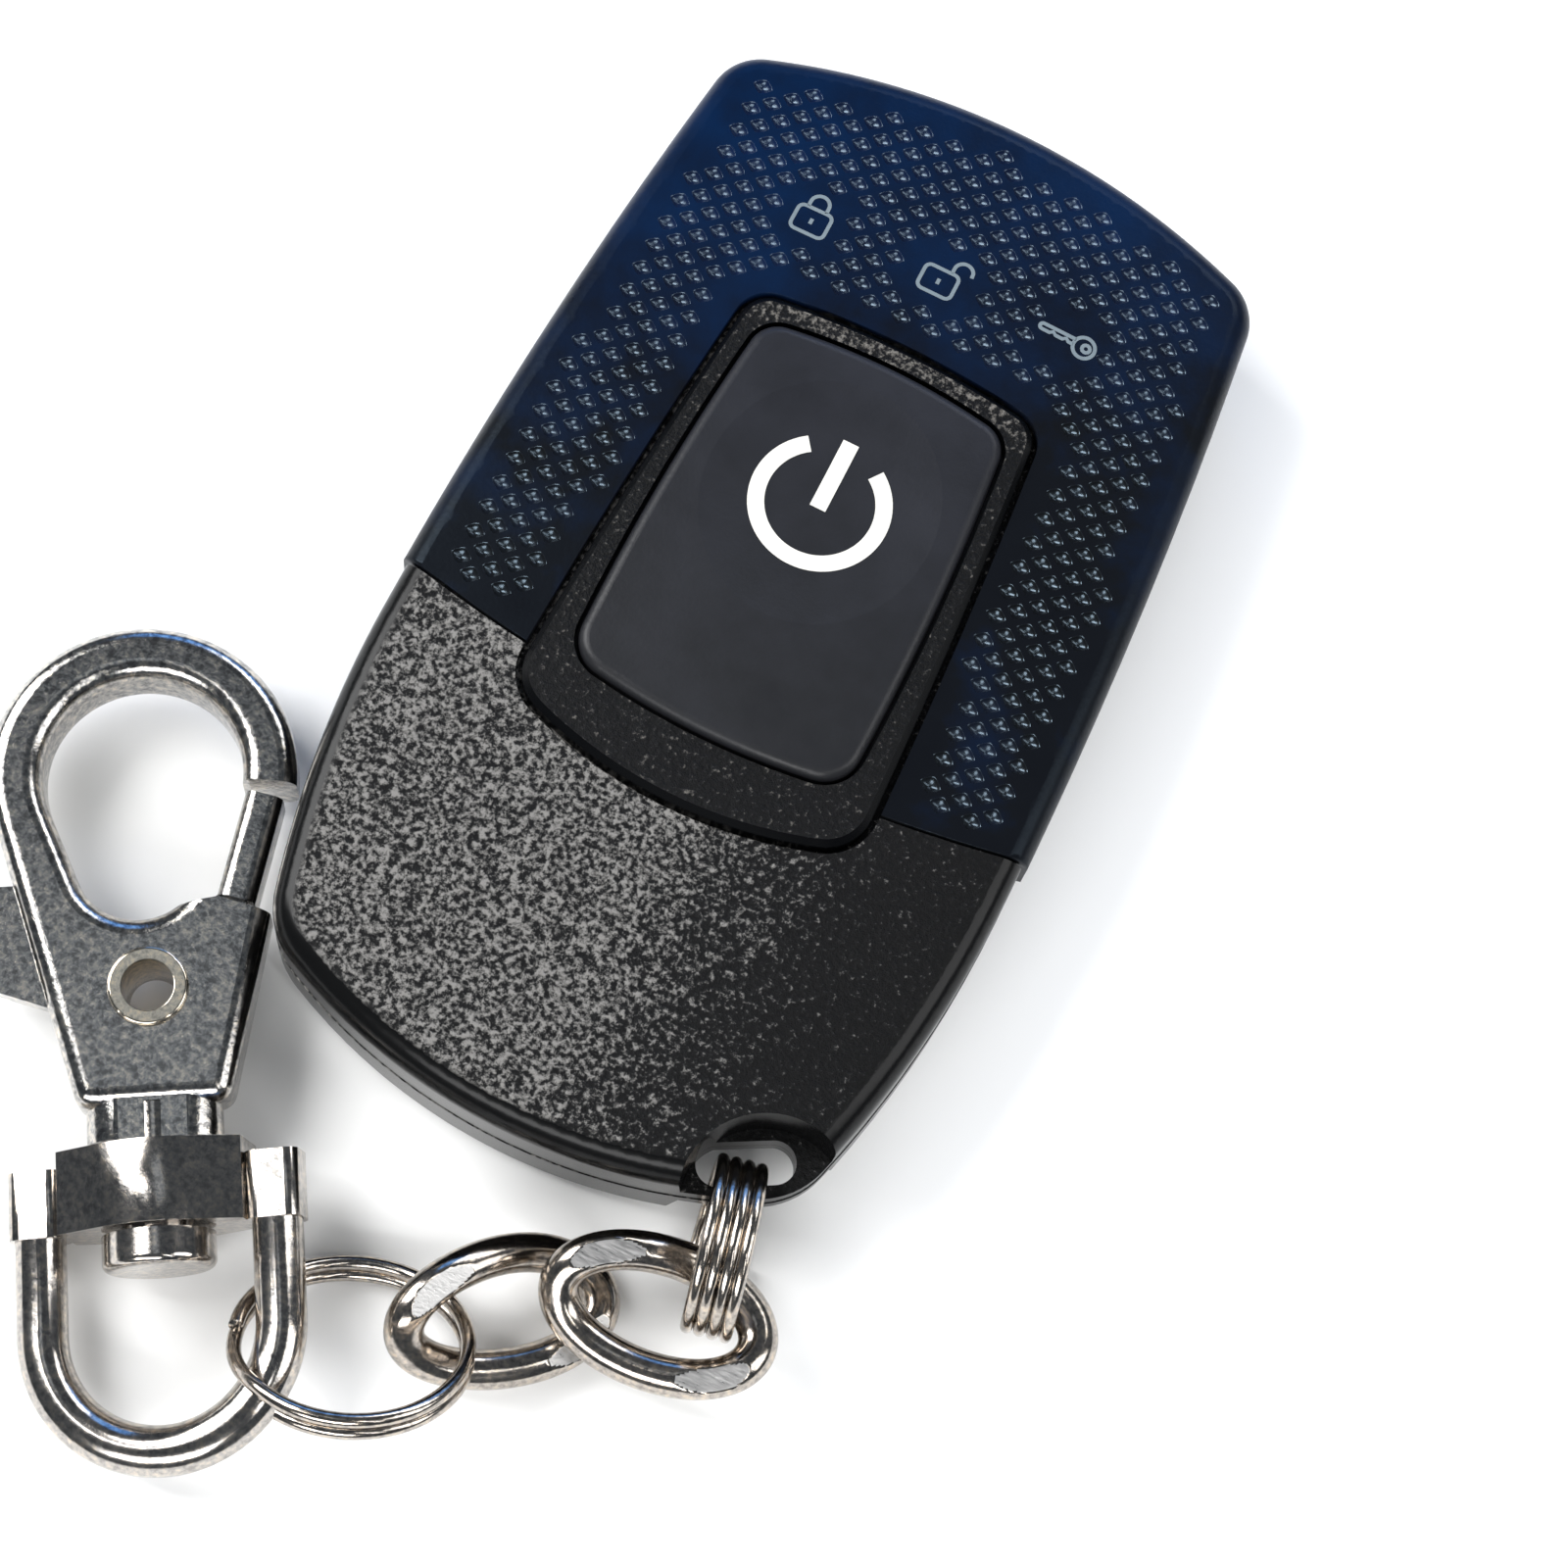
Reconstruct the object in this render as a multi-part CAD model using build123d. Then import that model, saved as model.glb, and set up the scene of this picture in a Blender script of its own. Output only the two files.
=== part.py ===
from build123d import *
import os
from math import asin, cos, degrees, pi, radians, sin, sqrt

# Car key fob with one start button, on a short curb chain with a trigger clasp.
# Origin: the flat middle of the fob's back. +Y runs up the fob, +Z out of its face.
# All sizes are in millimetres.

overrun = 1.0             # how far a cutting shape passes the faces it cuts
fit_gap = 0.05            # between fixed pieces that fit into each other
running_gap = 0.06        # radial clearance of a pin that turns in its bore

# Fob case, outline
case_length = 65.7
case_width = 38.2
case_widest_level = 23.35 # where the case is widest, from its lower end
case_top_arc_r = 46.0
case_bottom_arc_r = 33.0
case_upper_side_r = 345.0
case_lower_side_r = 61.5
case_top_corner_r = 3.2
case_bottom_corner_r = 5.0
least_corner_r = 0.6      # inner corners, where the wall is thicker than the outer radius

# Fob case, levels and walls
parting_z = 5.0           # joint between the rear shell and the front
face_z = 10.2             # top of the crowned face, in its middle
crown_across_r = 200.0
crown_along_r = 700.0
face_edge_r = 1.6         # rounding between face and sides
back_edge_r = 2.0
rear_inset = 0.25         # rear shell, inside the outline of the upper cover
lower_inset = 0.3         # lower half of the front, inside the same outline
shell_wall = 1.3
floor_thickness = 1.2
cover_skin = 1.2
front_wall = 0.8
lip_height = 0.8
lip_thickness = 0.6
seam_end_inset = 23.65    # seam between the cover and the lower half, from the lower end of the case
seam_r = 81.0
seam_gap = 0.2

# Button and the bezel around it
groove_top_y = 16.75      # middle of the gap around the bezel
groove_end_inset = 19.6   # its lower end, from that of the case
groove_top_r = 60.0
groove_bottom_r = 25.0
groove_side_r = 400.0
groove_top_half = 9.3     # half width at groove_top_level
groove_top_level = 13.0
groove_bottom_half = 10.5
groove_bottom_level = 5.75  # from the lower end of the gap
groove_top_corner_r = 2.0
groove_bottom_corner_r = 3.0
groove_gap = 0.36
button_top_y = 15.07
button_end_inset = 23.85
button_top_r = 43.0
button_bottom_r = 40.0
button_side_r = 144.0
button_top_half = 7.7     # half width at button_top_level
button_top_level = 13.2
button_bottom_half = 8.45
button_bottom_level = 5.0 # from the lower end of the button
button_top_corner_r = 1.8
button_bottom_corner_r = 2.3
button_gap = 0.25
button_rise = 0.75        # top of the button over the face
bezel_rise = 0.35
bezel_seat_z = 8.9
bezel_bevel = 0.35
button_edge_r = 0.6
button_skin = 1.2
button_flange = 0.7
button_flange_thickness = 0.6
button_post_r = 2.2
button_travel = 0.3
dish_r = 70.0             # thumb dish in the upper part of the button
dish_depth = 0.45
dish_y = 6.5

# Key ring hole in the lower right corner
recess_side_inset = 4.5   # its middle, from the side of the case
recess_end_inset = 2.85   # and from the lower end
recess_r = 5.8
recess_floor_r = 4.6
tab_low_z = 4.1
tab_high_z = 6.3
tab_wall = 1.2
eyelet_side_inset = 6.55
eyelet_end_inset = 4.85
eyelet_length = 5.4
eyelet_width = 2.4
eyelet_turn = 29.0
eyelet_edge_r = 0.35

# Coin cell and its door
cell_y = 13.5
cell_r = 10.0
cell_thickness = 3.2
door_r = 11.2
door_gap = 0.15
door_recess = 0.1
door_rim_height = 1.2
door_rim_thickness = 0.7
bayonet_reach = 1.0
bayonet_width = 4.0
bayonet_thickness = 0.6
bayonet_turn = 35.0       # turn of the door between locked and free
coin_slot_length = 9.0
coin_slot_width = 1.8
coin_slot_depth = 0.6
seal_r = 0.2

# Circuit board and what it carries
board_thickness = 0.8
board_bottom_z = 5.1
board_inset = 3.5
switch_y = 3.0
switch_size = 4.5
switch_height = 1.1
plunger_r = 1.1
plunger_rise = 0.3
plunger_depth = 0.6       # length of plunger inside the switch
membrane_grow = 1.2       # silicone pad, beyond the button's outline
membrane_thickness = 0.35
pressing_gap = 0.03       # between the pressed parts at rest
membrane_skirt = 0.8
chip_size = 5.0
chip_height = 0.8
chip_x = -3.0
chip_end_inset = 15.35    # from the lower end of the case, as for what lies beside it
radio_width = 6.0
radio_length = 7.0
radio_height = 1.0
radio_x = 4.6
radio_end_inset = 14.85
crystal_width = 2.5
crystal_length = 3.2
crystal_height = 0.7
crystal_x = -9.2
crystal_end_inset = 15.85
lamp_side_inset = 11.1    # outer indicator lamps, under the signs on the cover
lamp_y = 21.7
lamp_width = 1.6
lamp_length = 0.8
lamp_height = 0.7
guide_r = 0.9
guide_gap = 0.15
antenna_end_inset = 17.85
antenna_r = 1.2
antenna_wire = 0.5
antenna_pitch = 1.3
antenna_turns = 7
antenna_drop = 1.7        # axis of the antenna below the board
contact_thickness = 0.2
contact_width = 4.0
screw_upper_inset = (6.1, 8.85)   # from the side and the end of the case
screw_lower_inset = (7.3, 11.35)
screw_ring_inset = (14.3, 6.35)   # the one beside the key ring
screw_r = 0.75
screw_head_r = 1.5
screw_head_height = 0.9
screw_head_recess = 0.3
screw_length = 5.6
screw_boss_r = 2.1
screw_cross = 1.6
screw_cross_width = 0.35
screw_cross_depth = 0.4

# Coil ring through the eyelet: four turns of spring wire
coil_offset = (0.92, -4.35)       # from the eyelet, as for the rest of the chain
coil_mean_r = 4.6
coil_wire = 0.56
coil_pitch = 0.98
coil_turns = 4
coil_axis_turn = 12.0     # of its axis from +X
coil_start = 90.0         # where the ends of the wire lie

# Curb chain: two twisted links with ground faces
link_length = 13.2
link_width = 8.2
link_wire = 2.16
link_twist = 0.64         # how far the wire rises and falls round the link
link_ground_height = 1.25 # ground faces, from the middle of the link
link_1_offset = (-0.61, -8.92)
link_1_z = 4.5
link_1_turns = (10.9, 4.6, 7.8)
link_2_offset = (-8.11, -12.3)
link_2_z = 2.61
link_2_turns = (20.0, 16.1, 39.6)

# Split ring: two turns of wire
split_offset = (-14.17, -17.67)
split_z = 5.05
split_lean = 40.9
split_heading = 109.9
split_mean_r = 6.1
split_wire = 0.72
split_pitch = 1.13
split_turns = 2
split_start = -90.0       # where the ends of the wire lie

# Clasp, drawn in its own axes: x to the right, y towards the tip of the hook, rivet at zero
clasp_offset = (-32.7, -5.82)
clasp_z = 3.7
clasp_turn = 30.79
hook_thickness = 4.2
hook_loop_y = 12.1
hook_loop_r = 8.35
hook_hole_r = 5.4
hook_throat_x = -0.4
hook_throat_y = 7.3
hook_throat_r = 3.4
hook_edge_r = 1.0
hook_foot_y = -6.3
hook_foot_left = -3.95
hook_foot_right = 4.1
hook_shoulder_x = 5.6
hook_shoulder_y = 3.4
hook_tip_y = 10.9
neck_width = 7.2
neck_height = 3.8
neck_end_y = -8.1
rivet_r = 1.7
rivet_bore_r = 1.4
rivet_flange_r = 2.15
rivet_flange_thickness = 0.35
pocket_thickness = 2.6    # slot in the middle of the hook body, for the gate
gate_plate_thickness = 1.2
gate_bar_thickness = 3.4
gate_bar_width = 2.1
gate_hub_r = 2.7
gate_low = (4.75, 4.75)   # ends of the gate bar, on its middle line
gate_high = (6.5, 10.5)
gate_gap = 0.3
lever_end_x = -10.4
lever_low_y = 1.3
lever_high_y = 6.2
lever_corner_r = 0.8
spring_wire = 0.3
spring_pitch = 0.72
spring_mean_r = 2.35
spring_leg = 1.1
stem_r = 1.9
stem_head_r = 3.0
stem_head_length = 1.9
stem_seat = 2.0           # length of the stem inside the neck
hub_top_y = -8.4
hub_length = 4.4
hub_r = 3.6               # half its thickness, over the stem
hub_face_r = 5.3          # curve of its front and back
hub_width = 9.9
hub_end_thickness = 3.6
ear_top_y = -9.2
hub_play = 0.2
eye_half = 6.37           # middle of an arm from the clasp's axis
eye_bend_y = -17.9
eye_wire_r = 1.35
eye_block = 2.9
eye_block_r = 0.7
eye_roll = 9.6

os.makedirs("parts", exist_ok=True)

side_x = case_width / 2
end_y = case_length / 2
case_widest_y = case_widest_level - end_y
seam_y = seam_end_inset - end_y
groove_bottom_y = groove_end_inset - end_y
button_bottom_y = button_end_inset - end_y
recess_x = side_x - recess_side_inset
recess_y = recess_end_inset - end_y
eyelet_x = side_x - eyelet_side_inset
eyelet_y = eyelet_end_inset - end_y
chip_y = chip_end_inset - end_y
radio_y = radio_end_inset - end_y
crystal_y = crystal_end_inset - end_y
antenna_y = antenna_end_inset - end_y
lamp_pitch = side_x - lamp_side_inset
screw_places = (
    (screw_upper_inset[0] - side_x, end_y - screw_upper_inset[1]),
    (side_x - screw_upper_inset[0], end_y - screw_upper_inset[1]),
    (screw_lower_inset[0] - side_x, screw_lower_inset[1] - end_y),
    (side_x - screw_ring_inset[0], screw_ring_inset[1] - end_y),
)
board_top_z = board_bottom_z + board_thickness
plunger_top_z = board_top_z + switch_height + plunger_rise
membrane_top_z = plunger_top_z + membrane_thickness
ceiling_z = face_z - cover_skin - fit_gap - front_wall
hook_half = hook_thickness / 2


def circle_meet(one, other, toward):
    """Point where two circles meet, on the side that toward points to."""
    gap = other[0] - one[0]
    along = (one[1] ** 2 - other[1] ** 2 + gap.length ** 2) / (2 * gap.length)
    across = sqrt(max(0, one[1] ** 2 - along ** 2))
    way = gap.normalized()
    side = Vector(-way.Y, way.X)
    choices = [one[0] + way * along + side * across, one[0] + way * along - side * across]
    return max(choices, key=lambda point: point.dot(toward))


def circle_through(top, bottom, radius):
    """Circle of that radius through two points on the right-hand side, bulging outwards."""
    half = (bottom - top) / 2
    back = sqrt(radius ** 2 - half.length ** 2)
    inward = Vector(half.Y, -half.X).normalized()
    return (top + half + inward * back, radius)


def arc_on(circle, start, end):
    """Arc of a circle between two of its points, the short way."""
    toward = ((start + end) / 2 - circle[0]).normalized()
    return ThreePointArc(start, circle[0] + toward * circle[1], end)


def flip(point):
    """The same point on the left-hand side."""
    return Vector(-point.X, point.Y)


def arc_outline(top, sides, bottom, grow, top_corner, bottom_corner):
    """Symmetric face bounded by arcs: a top, one or two arcs down each side, and a bottom."""
    rings = [(centre, radius + grow) for centre, radius in (top, *sides, bottom)]
    ways = [Vector(1, 1), Vector(1, -1)]
    if len(sides) == 2:
        ways.insert(1, Vector(1, 0))
    points = [circle_meet(rings[n], rings[n + 1], way) for n, way in enumerate(ways)]
    edges = [arc_on(rings[0], flip(points[0]), points[0])]
    for n in range(len(points) - 1):
        edges.append(arc_on(rings[n + 1], points[n], points[n + 1]))
    edges.append(arc_on(rings[-1], points[-1], flip(points[-1])))
    for n in reversed(range(len(points) - 1)):
        left = (flip(rings[n + 1][0]), rings[n + 1][1])
        edges.append(arc_on(left, flip(points[n + 1]), flip(points[n])))
    face = make_face(edges)
    ordered = face.vertices().sort_by(Axis.Y)
    face = fillet(ordered[-2:], max(top_corner + grow, least_corner_r))
    ordered = face.vertices().sort_by(Axis.Y)
    return fillet(ordered[:2], max(bottom_corner + grow, least_corner_r))


def case_outline(inset):
    """Outline of the fob, drawn in by inset."""
    half = case_length / 2
    top = (Vector(0, half - case_top_arc_r), case_top_arc_r)
    upper = (Vector(case_width / 2 - case_upper_side_r, case_widest_y), case_upper_side_r)
    lower = (Vector(case_width / 2 - case_lower_side_r, case_widest_y), case_lower_side_r)
    bottom = (Vector(0, case_bottom_arc_r - half), case_bottom_arc_r)
    return arc_outline(top, (upper, lower), bottom, -inset, case_top_corner_r, case_bottom_corner_r)


def groove_outline(grow):
    """Outline of the gap around the bezel."""
    top = (Vector(0, groove_top_y - groove_top_r), groove_top_r)
    side = circle_through(Vector(groove_top_half, groove_top_level),
                          Vector(groove_bottom_half, groove_bottom_y + groove_bottom_level), groove_side_r)
    bottom = (Vector(0, groove_bottom_y + groove_bottom_r), groove_bottom_r)
    return arc_outline(top, (side,), bottom, grow, groove_top_corner_r, groove_bottom_corner_r)


def button_outline(grow):
    """Outline of the button."""
    top = (Vector(0, button_top_y - button_top_r), button_top_r)
    side = circle_through(Vector(button_top_half, button_top_level),
                          Vector(button_bottom_half, button_bottom_y + button_bottom_level), button_side_r)
    bottom = (Vector(0, button_bottom_y + button_bottom_r), button_bottom_r)
    return arc_outline(top, (side,), bottom, grow, button_top_corner_r, button_bottom_corner_r)


def slab(face, low, high):
    """Upright block on a flat face, between two levels."""
    return extrude(Pos(0, 0, low) * face, high - low, dir=(0, 0, 1))


def rod(x, y, low, high, radius):
    """Upright round bar between two levels."""
    return Pos(x, y, (low + high) / 2) * Cylinder(radius, high - low)


def block(x, y, low, high, width, length):
    """Upright square bar between two levels."""
    return Pos(x, y, (low + high) / 2) * Box(width, length, high - low)


def under_crown(top_z):
    """Everything below the fob's crowned face, which is top_z high in the middle."""
    half = case_width
    edge_z = top_z - crown_across_r + sqrt(crown_across_r ** 2 - half ** 2)
    arc = Bezier((-half, edge_z), (0, 2 * top_z - edge_z), (half, edge_z))
    legs = Polyline((half, edge_z), (half, -face_z), (-half, -face_z), (-half, edge_z))
    section = Plane.XZ * make_face([arc, *legs.edges()])
    axis = Axis((0, 0, top_z - crown_along_r), (1, 0, 0))
    sweep_angle = 2 * degrees(asin(case_length / crown_along_r))
    return revolve(section.rotate(axis, -sweep_angle / 2), axis, sweep_angle)


def round_top(solid, radius):
    """The solid with the edges of its highest face rounded."""
    top = solid.faces().sort_by(Axis.Z)[-1]
    return fillet(top.edges(), radius)


def recess(from_z, to_z):
    """Dished clearance for the key ring in the corner of the fob, deepest at from_z."""
    height = abs(to_z - from_z) + overrun
    flare = (recess_r - recess_floor_r) * height / (height - overrun)
    low_r, high_r = recess_floor_r, recess_floor_r + flare
    if to_z < from_z:
        return Pos(recess_x, recess_y, from_z - height / 2) * Cone(high_r, low_r, height)
    return Pos(recess_x, recess_y, from_z + height / 2) * Cone(low_r, high_r, height)


def eyelet(low, high):
    """Slot through which the coil ring passes."""
    shape = Rot(0, 0, eyelet_turn) * SlotOverall(eyelet_length, eyelet_width)
    return slab(Pos(eyelet_x, eyelet_y) * shape, low, high)


def tab_boss(low, high):
    """Solid corner that carries the eyelet."""
    return rod(recess_x, recess_y, low, high, recess_r + tab_wall)


def bayonet(turn, grow):
    """The two bayonet lugs, seen from above, turned about the door's middle."""
    bar = Rectangle(2 * (door_r + bayonet_reach + grow), bayonet_width + 2 * grow)
    ring = Circle(door_r + bayonet_reach + grow)
    return Pos(0, cell_y) * (Rot(0, 0, turn) * (bar & ring))


def rear_shell():
    outer = slab(case_outline(rear_inset), 0, parting_z)
    outer = fillet(outer.faces().sort_by(Axis.Z)[0].edges(), back_edge_r)
    room = slab(case_outline(rear_inset + shell_wall), floor_thickness, parting_z + overrun)
    lip_inset = rear_inset + cover_skin + front_wall + 3 * fit_gap
    lip = slab(case_outline(lip_inset), parting_z - lip_height, parting_z + lip_height)
    lip -= slab(case_outline(lip_inset + lip_thickness), 0, parting_z + 2 * lip_height)
    ledge = slab(case_outline(rear_inset), parting_z - lip_height, parting_z)
    ledge -= slab(case_outline(lip_inset + lip_thickness), 0, parting_z)
    keep_clear = rod(recess_x, recess_y, 0, face_z, recess_r + tab_wall + fit_gap)
    shell = outer - (room - tab_boss(0, face_z)) + ledge + (lip - keep_clear)
    for x, y in screw_places:
        shell += rod(x, y, 0, board_bottom_z - fit_gap, screw_boss_r)
    shell -= rod(0, cell_y, -overrun, floor_thickness + overrun, door_r + door_gap)
    shell -= slab(bayonet(bayonet_turn, door_gap), -overrun, floor_thickness + overrun)
    for x, y in screw_places:
        shell -= rod(x, y, -overrun, face_z, screw_r + fit_gap)
        shell -= rod(x, y, -overrun, screw_head_recess + screw_head_height, screw_head_r + fit_gap)
    shell -= recess(tab_low_z, -overrun)
    return shell - eyelet(-overrun, face_z)


def seam_disc(grow):
    """Everything above the seam across the face."""
    return rod(0, seam_y + seam_r, -overrun, 2 * face_z, seam_r + grow)


def front_shell():
    below = slab(case_outline(lower_inset), parting_z + fit_gap, 2 * face_z) & under_crown(face_z)
    below = round_top(below, face_edge_r) - seam_disc(seam_gap / 2)
    core_inset = cover_skin + fit_gap
    core = slab(case_outline(core_inset), parting_z + fit_gap, 2 * face_z)
    core &= under_crown(face_z - core_inset)
    for x in (-lamp_pitch, 0, lamp_pitch):
        core -= rod(x, lamp_y, 0, 2 * face_z, guide_r + fit_gap)
    room = slab(case_outline(core_inset + front_wall), 0, 2 * face_z) & under_crown(ceiling_z)
    shell = below + core - (room - tab_boss(0, face_z))
    for x, y in screw_places:
        boss = rod(x, y, board_top_z + fit_gap, face_z, screw_boss_r) & under_crown(ceiling_z + fit_gap)
        shell += boss - rod(x, y, 0, board_top_z + screw_length, screw_r + fit_gap)
    shell -= slab(groove_outline(groove_gap / 2), bezel_seat_z, 2 * face_z)
    shell -= slab(button_outline(button_flange + button_gap), 0, 2 * face_z)
    shell -= recess(tab_high_z, 2 * face_z)
    return shell - eyelet(0, 2 * face_z)


def upper_cover():
    outer = slab(case_outline(0), parting_z + fit_gap, 2 * face_z) & under_crown(face_z)
    outer = round_top(outer, face_edge_r)
    room = slab(case_outline(cover_skin), 0, 2 * face_z) & under_crown(face_z - cover_skin)
    cover = (outer - room) & seam_disc(-seam_gap / 2)
    return cover - slab(groove_outline(groove_gap / 2), 0, 2 * face_z)


def button_bezel():
    ring = slab(groove_outline(-groove_gap / 2), bezel_seat_z, 2 * face_z)
    ring &= under_crown(face_z + bezel_rise)
    ring = chamfer(ring.faces().sort_by(Axis.Z)[-1].edges(), bezel_bevel)
    return ring - slab(button_outline(button_gap), 0, 2 * face_z)


def start_button():
    flange_low = bezel_seat_z - fit_gap - button_flange_thickness
    body = slab(button_outline(0), flange_low, 2 * face_z) & under_crown(face_z + button_rise)
    body = round_top(body, button_edge_r)
    body -= Pos(0, dish_y, face_z + button_rise - dish_depth + dish_r) * Sphere(dish_r)
    body += slab(button_outline(button_flange), flange_low, flange_low + button_flange_thickness)
    body -= slab(button_outline(-button_skin), 0, face_z + button_rise - button_skin - dish_depth)
    return body + rod(0, switch_y, membrane_top_z + fit_gap, face_z - dish_depth, button_post_r)


def button_membrane():
    pad = slab(button_outline(membrane_grow), board_top_z, membrane_top_z)
    hollow = slab(button_outline(membrane_grow - membrane_skirt), 0, plunger_top_z + pressing_gap)
    return pad - hollow


def circuit_board():
    board = slab(case_outline(board_inset), board_bottom_z, board_top_z)
    board -= rod(recess_x, recess_y, 0, face_z, recess_r + tab_wall + board_thickness)
    for x, y in screw_places:
        board -= rod(x, y, 0, face_z, screw_r + 2 * fit_gap)
    return board


def tact_switch():
    body = block(0, switch_y, board_top_z, board_top_z + switch_height, switch_size, switch_size)
    body = chamfer(body.edges().filter_by(Axis.Z), switch_height / 2)
    low = board_top_z + switch_height - plunger_depth - button_travel - fit_gap
    return body - rod(0, switch_y, low, face_z, plunger_r + running_gap)


def switch_plunger():
    return rod(0, switch_y, board_top_z + switch_height - plunger_depth, plunger_top_z, plunger_r)


def main_chip():
    chip = block(chip_x, chip_y, board_top_z, board_top_z + chip_height, chip_size, chip_size)
    dot_z = board_top_z + chip_height
    dot = rod(chip_x - chip_size / 3, chip_y + chip_size / 3, dot_z - fit_gap, dot_z + overrun, plunger_rise)
    return chip - dot


def radio_module():
    can = block(radio_x, radio_y, board_top_z, board_top_z + radio_height, radio_width, radio_length)
    return fillet(can.edges().filter_by(Axis.Z), radio_height / 2)


def crystal():
    can = block(crystal_x, crystal_y, board_top_z, board_top_z + crystal_height,
                crystal_width, crystal_length)
    return fillet(can.edges().filter_by(Axis.Z), crystal_height / 2)


def indicator_lamps():
    low = board_top_z
    return [block(x, lamp_y, low, low + lamp_height, lamp_width, lamp_length)
            for x in (-lamp_pitch, 0, lamp_pitch)]


def light_guides():
    roof = under_crown(face_z - cover_skin - fit_gap)
    low = board_top_z + lamp_height + guide_gap
    return [rod(x, lamp_y, low, face_z, guide_r) & roof for x in (-lamp_pitch, 0, lamp_pitch)]


def coin_cell():
    low = floor_thickness + fit_gap
    can = rod(0, cell_y, low, low + cell_thickness, cell_r)
    can = fillet(can.edges(), contact_thickness)
    step = rod(0, cell_y, low + cell_thickness - contact_thickness, face_z, cell_r)
    return can - (step - rod(0, cell_y, 0, face_z, cell_r - 2 * door_rim_thickness))


def battery_contact_negative():
    low = floor_thickness + fit_gap + cell_thickness
    foot = block(0, cell_y, board_bottom_z - contact_thickness, board_bottom_z, contact_width,
                 3 * contact_width)
    blade = block(0, cell_y, low, low + contact_thickness, contact_width, contact_width)
    post = block(0, cell_y + contact_width / 2, low, board_bottom_z, contact_width, contact_thickness)
    return foot + blade + post


def battery_contact_positive():
    inner = cell_y - cell_r - fit_gap
    low = floor_thickness + door_rim_height + 2 * fit_gap
    wall = block(0, inner - contact_thickness / 2, low, board_bottom_z, contact_width, contact_thickness)
    foot_length = contact_width / 2
    foot = block(0, inner - foot_length / 2, board_bottom_z - contact_thickness, board_bottom_z,
                 contact_width, foot_length)
    return wall + foot


def battery_door():
    door = rod(0, cell_y, door_recess, floor_thickness, door_r)
    groove_z = (door_recess + floor_thickness) / 2
    groove = Pos(0, cell_y, groove_z) * Torus(door_r - fit_gap, seal_r + fit_gap)
    rim_r = cell_r + fit_gap + door_rim_thickness
    rim = rod(0, cell_y, floor_thickness, floor_thickness + door_rim_height, rim_r)
    lug_low = floor_thickness + fit_gap
    lugs = slab(bayonet(0, 0), lug_low, lug_low + bayonet_thickness)
    door = door - groove + rim + lugs
    door -= rod(0, cell_y, floor_thickness, face_z, cell_r + fit_gap)
    slot = block(0, cell_y, -overrun, door_recess + coin_slot_depth, coin_slot_length, coin_slot_width)
    return door - slot


def door_seal():
    return Pos(0, cell_y, (door_recess + floor_thickness) / 2) * Torus(door_r - fit_gap, seal_r)


def shell_screws():
    screws = []
    for x, y in screw_places:
        head_top = screw_head_recess + screw_head_height
        head = rod(x, y, screw_head_recess, head_top, screw_head_r)
        for width, length in ((screw_cross, screw_cross_width), (screw_cross_width, screw_cross)):
            head -= block(x, y, 0, screw_head_recess + screw_cross_depth, width, length)
        screws.append(head + rod(x, y, head_top, head_top + screw_length - fit_gap, screw_r))
    return screws


def biarc(start, start_way, end, end_way):
    """Two arcs that meet smoothly, leaving start and reaching end along the given directions."""
    chord = end - start
    both = start_way + end_way
    spread = 2 * (1 - start_way.dot(end_way))
    reach = (sqrt(chord.dot(both) ** 2 + spread * chord.dot(chord)) - chord.dot(both)) / spread
    middle = (start + end + (start_way - end_way) * reach) / 2
    first = TangentArc(start, middle, tangent=start_way)
    return [first, TangentArc(middle, end, tangent=first % 1)]


def wire_along(curve, way, stations):
    """Smooth line of arcs through points of a curve, which way gives the direction of."""
    edges = []
    for low, high in zip(stations, stations[1:]):
        edges += biarc(curve(low), way(low), curve(high), way(high))
    return edges


def wire_solid(edges, radius):
    """Round wire of that radius along a line of edges."""
    line = Wire(edges)
    profile = Plane(origin=line @ 0, z_dir=line % 0) * Circle(radius)
    return sweep(profile, path=line)


def winding(mean_r, pitch, turns):
    """Line of a coil about +Z, centred on zero, in half turns."""
    def curve(angle):
        height = pitch * (angle / (2 * pi) - turns / 2)
        return Vector(mean_r * cos(angle), mean_r * sin(angle), height)

    def way(angle):
        return Vector(-mean_r * sin(angle), mean_r * cos(angle), pitch / (2 * pi)).normalized()

    stations = [n * pi for n in range(int(2 * turns) + 1)]
    return wire_along(curve, way, stations)


def ring_line(mean_r, pitch, turns):
    """Line of a close-wound ring about +Z: each turn steps over to the next below the X axis."""
    def step(height):
        left, right = Vector(-mean_r, 0, height), Vector(mean_r, 0, height + pitch)
        return biarc(left, Vector(0, -1, 0), right, Vector(0, 1, 0))

    lowest = -pitch * (turns - 1) / 2
    edges = [step(lowest - pitch)[1]]
    for n in range(turns):
        height = lowest + n * pitch
        edges.append(ThreePointArc((mean_r, 0, height), (0, mean_r, height), (-mean_r, 0, height)))
        edges += step(height)
    return edges[:-1]


def least_gap(edges, wire, turn_length):
    """Least gap of a wound wire to itself, measured on points along it."""
    line = Wire(edges)
    count = 40 * int(line.length / turn_length + 1)
    points = [line @ (n / count) for n in range(count + 1)]
    apart = int(count * turn_length / line.length / 2)
    gaps = [(points[n] - points[m]).length for n in range(count + 1) for m in range(n + apart, count + 1)]
    return min(gaps) - wire


def from_eyelet(offset, z):
    """Place of a piece of the chain, set out from the eyelet."""
    return Pos(eyelet_x + offset[0], eyelet_y + offset[1], z)


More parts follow.
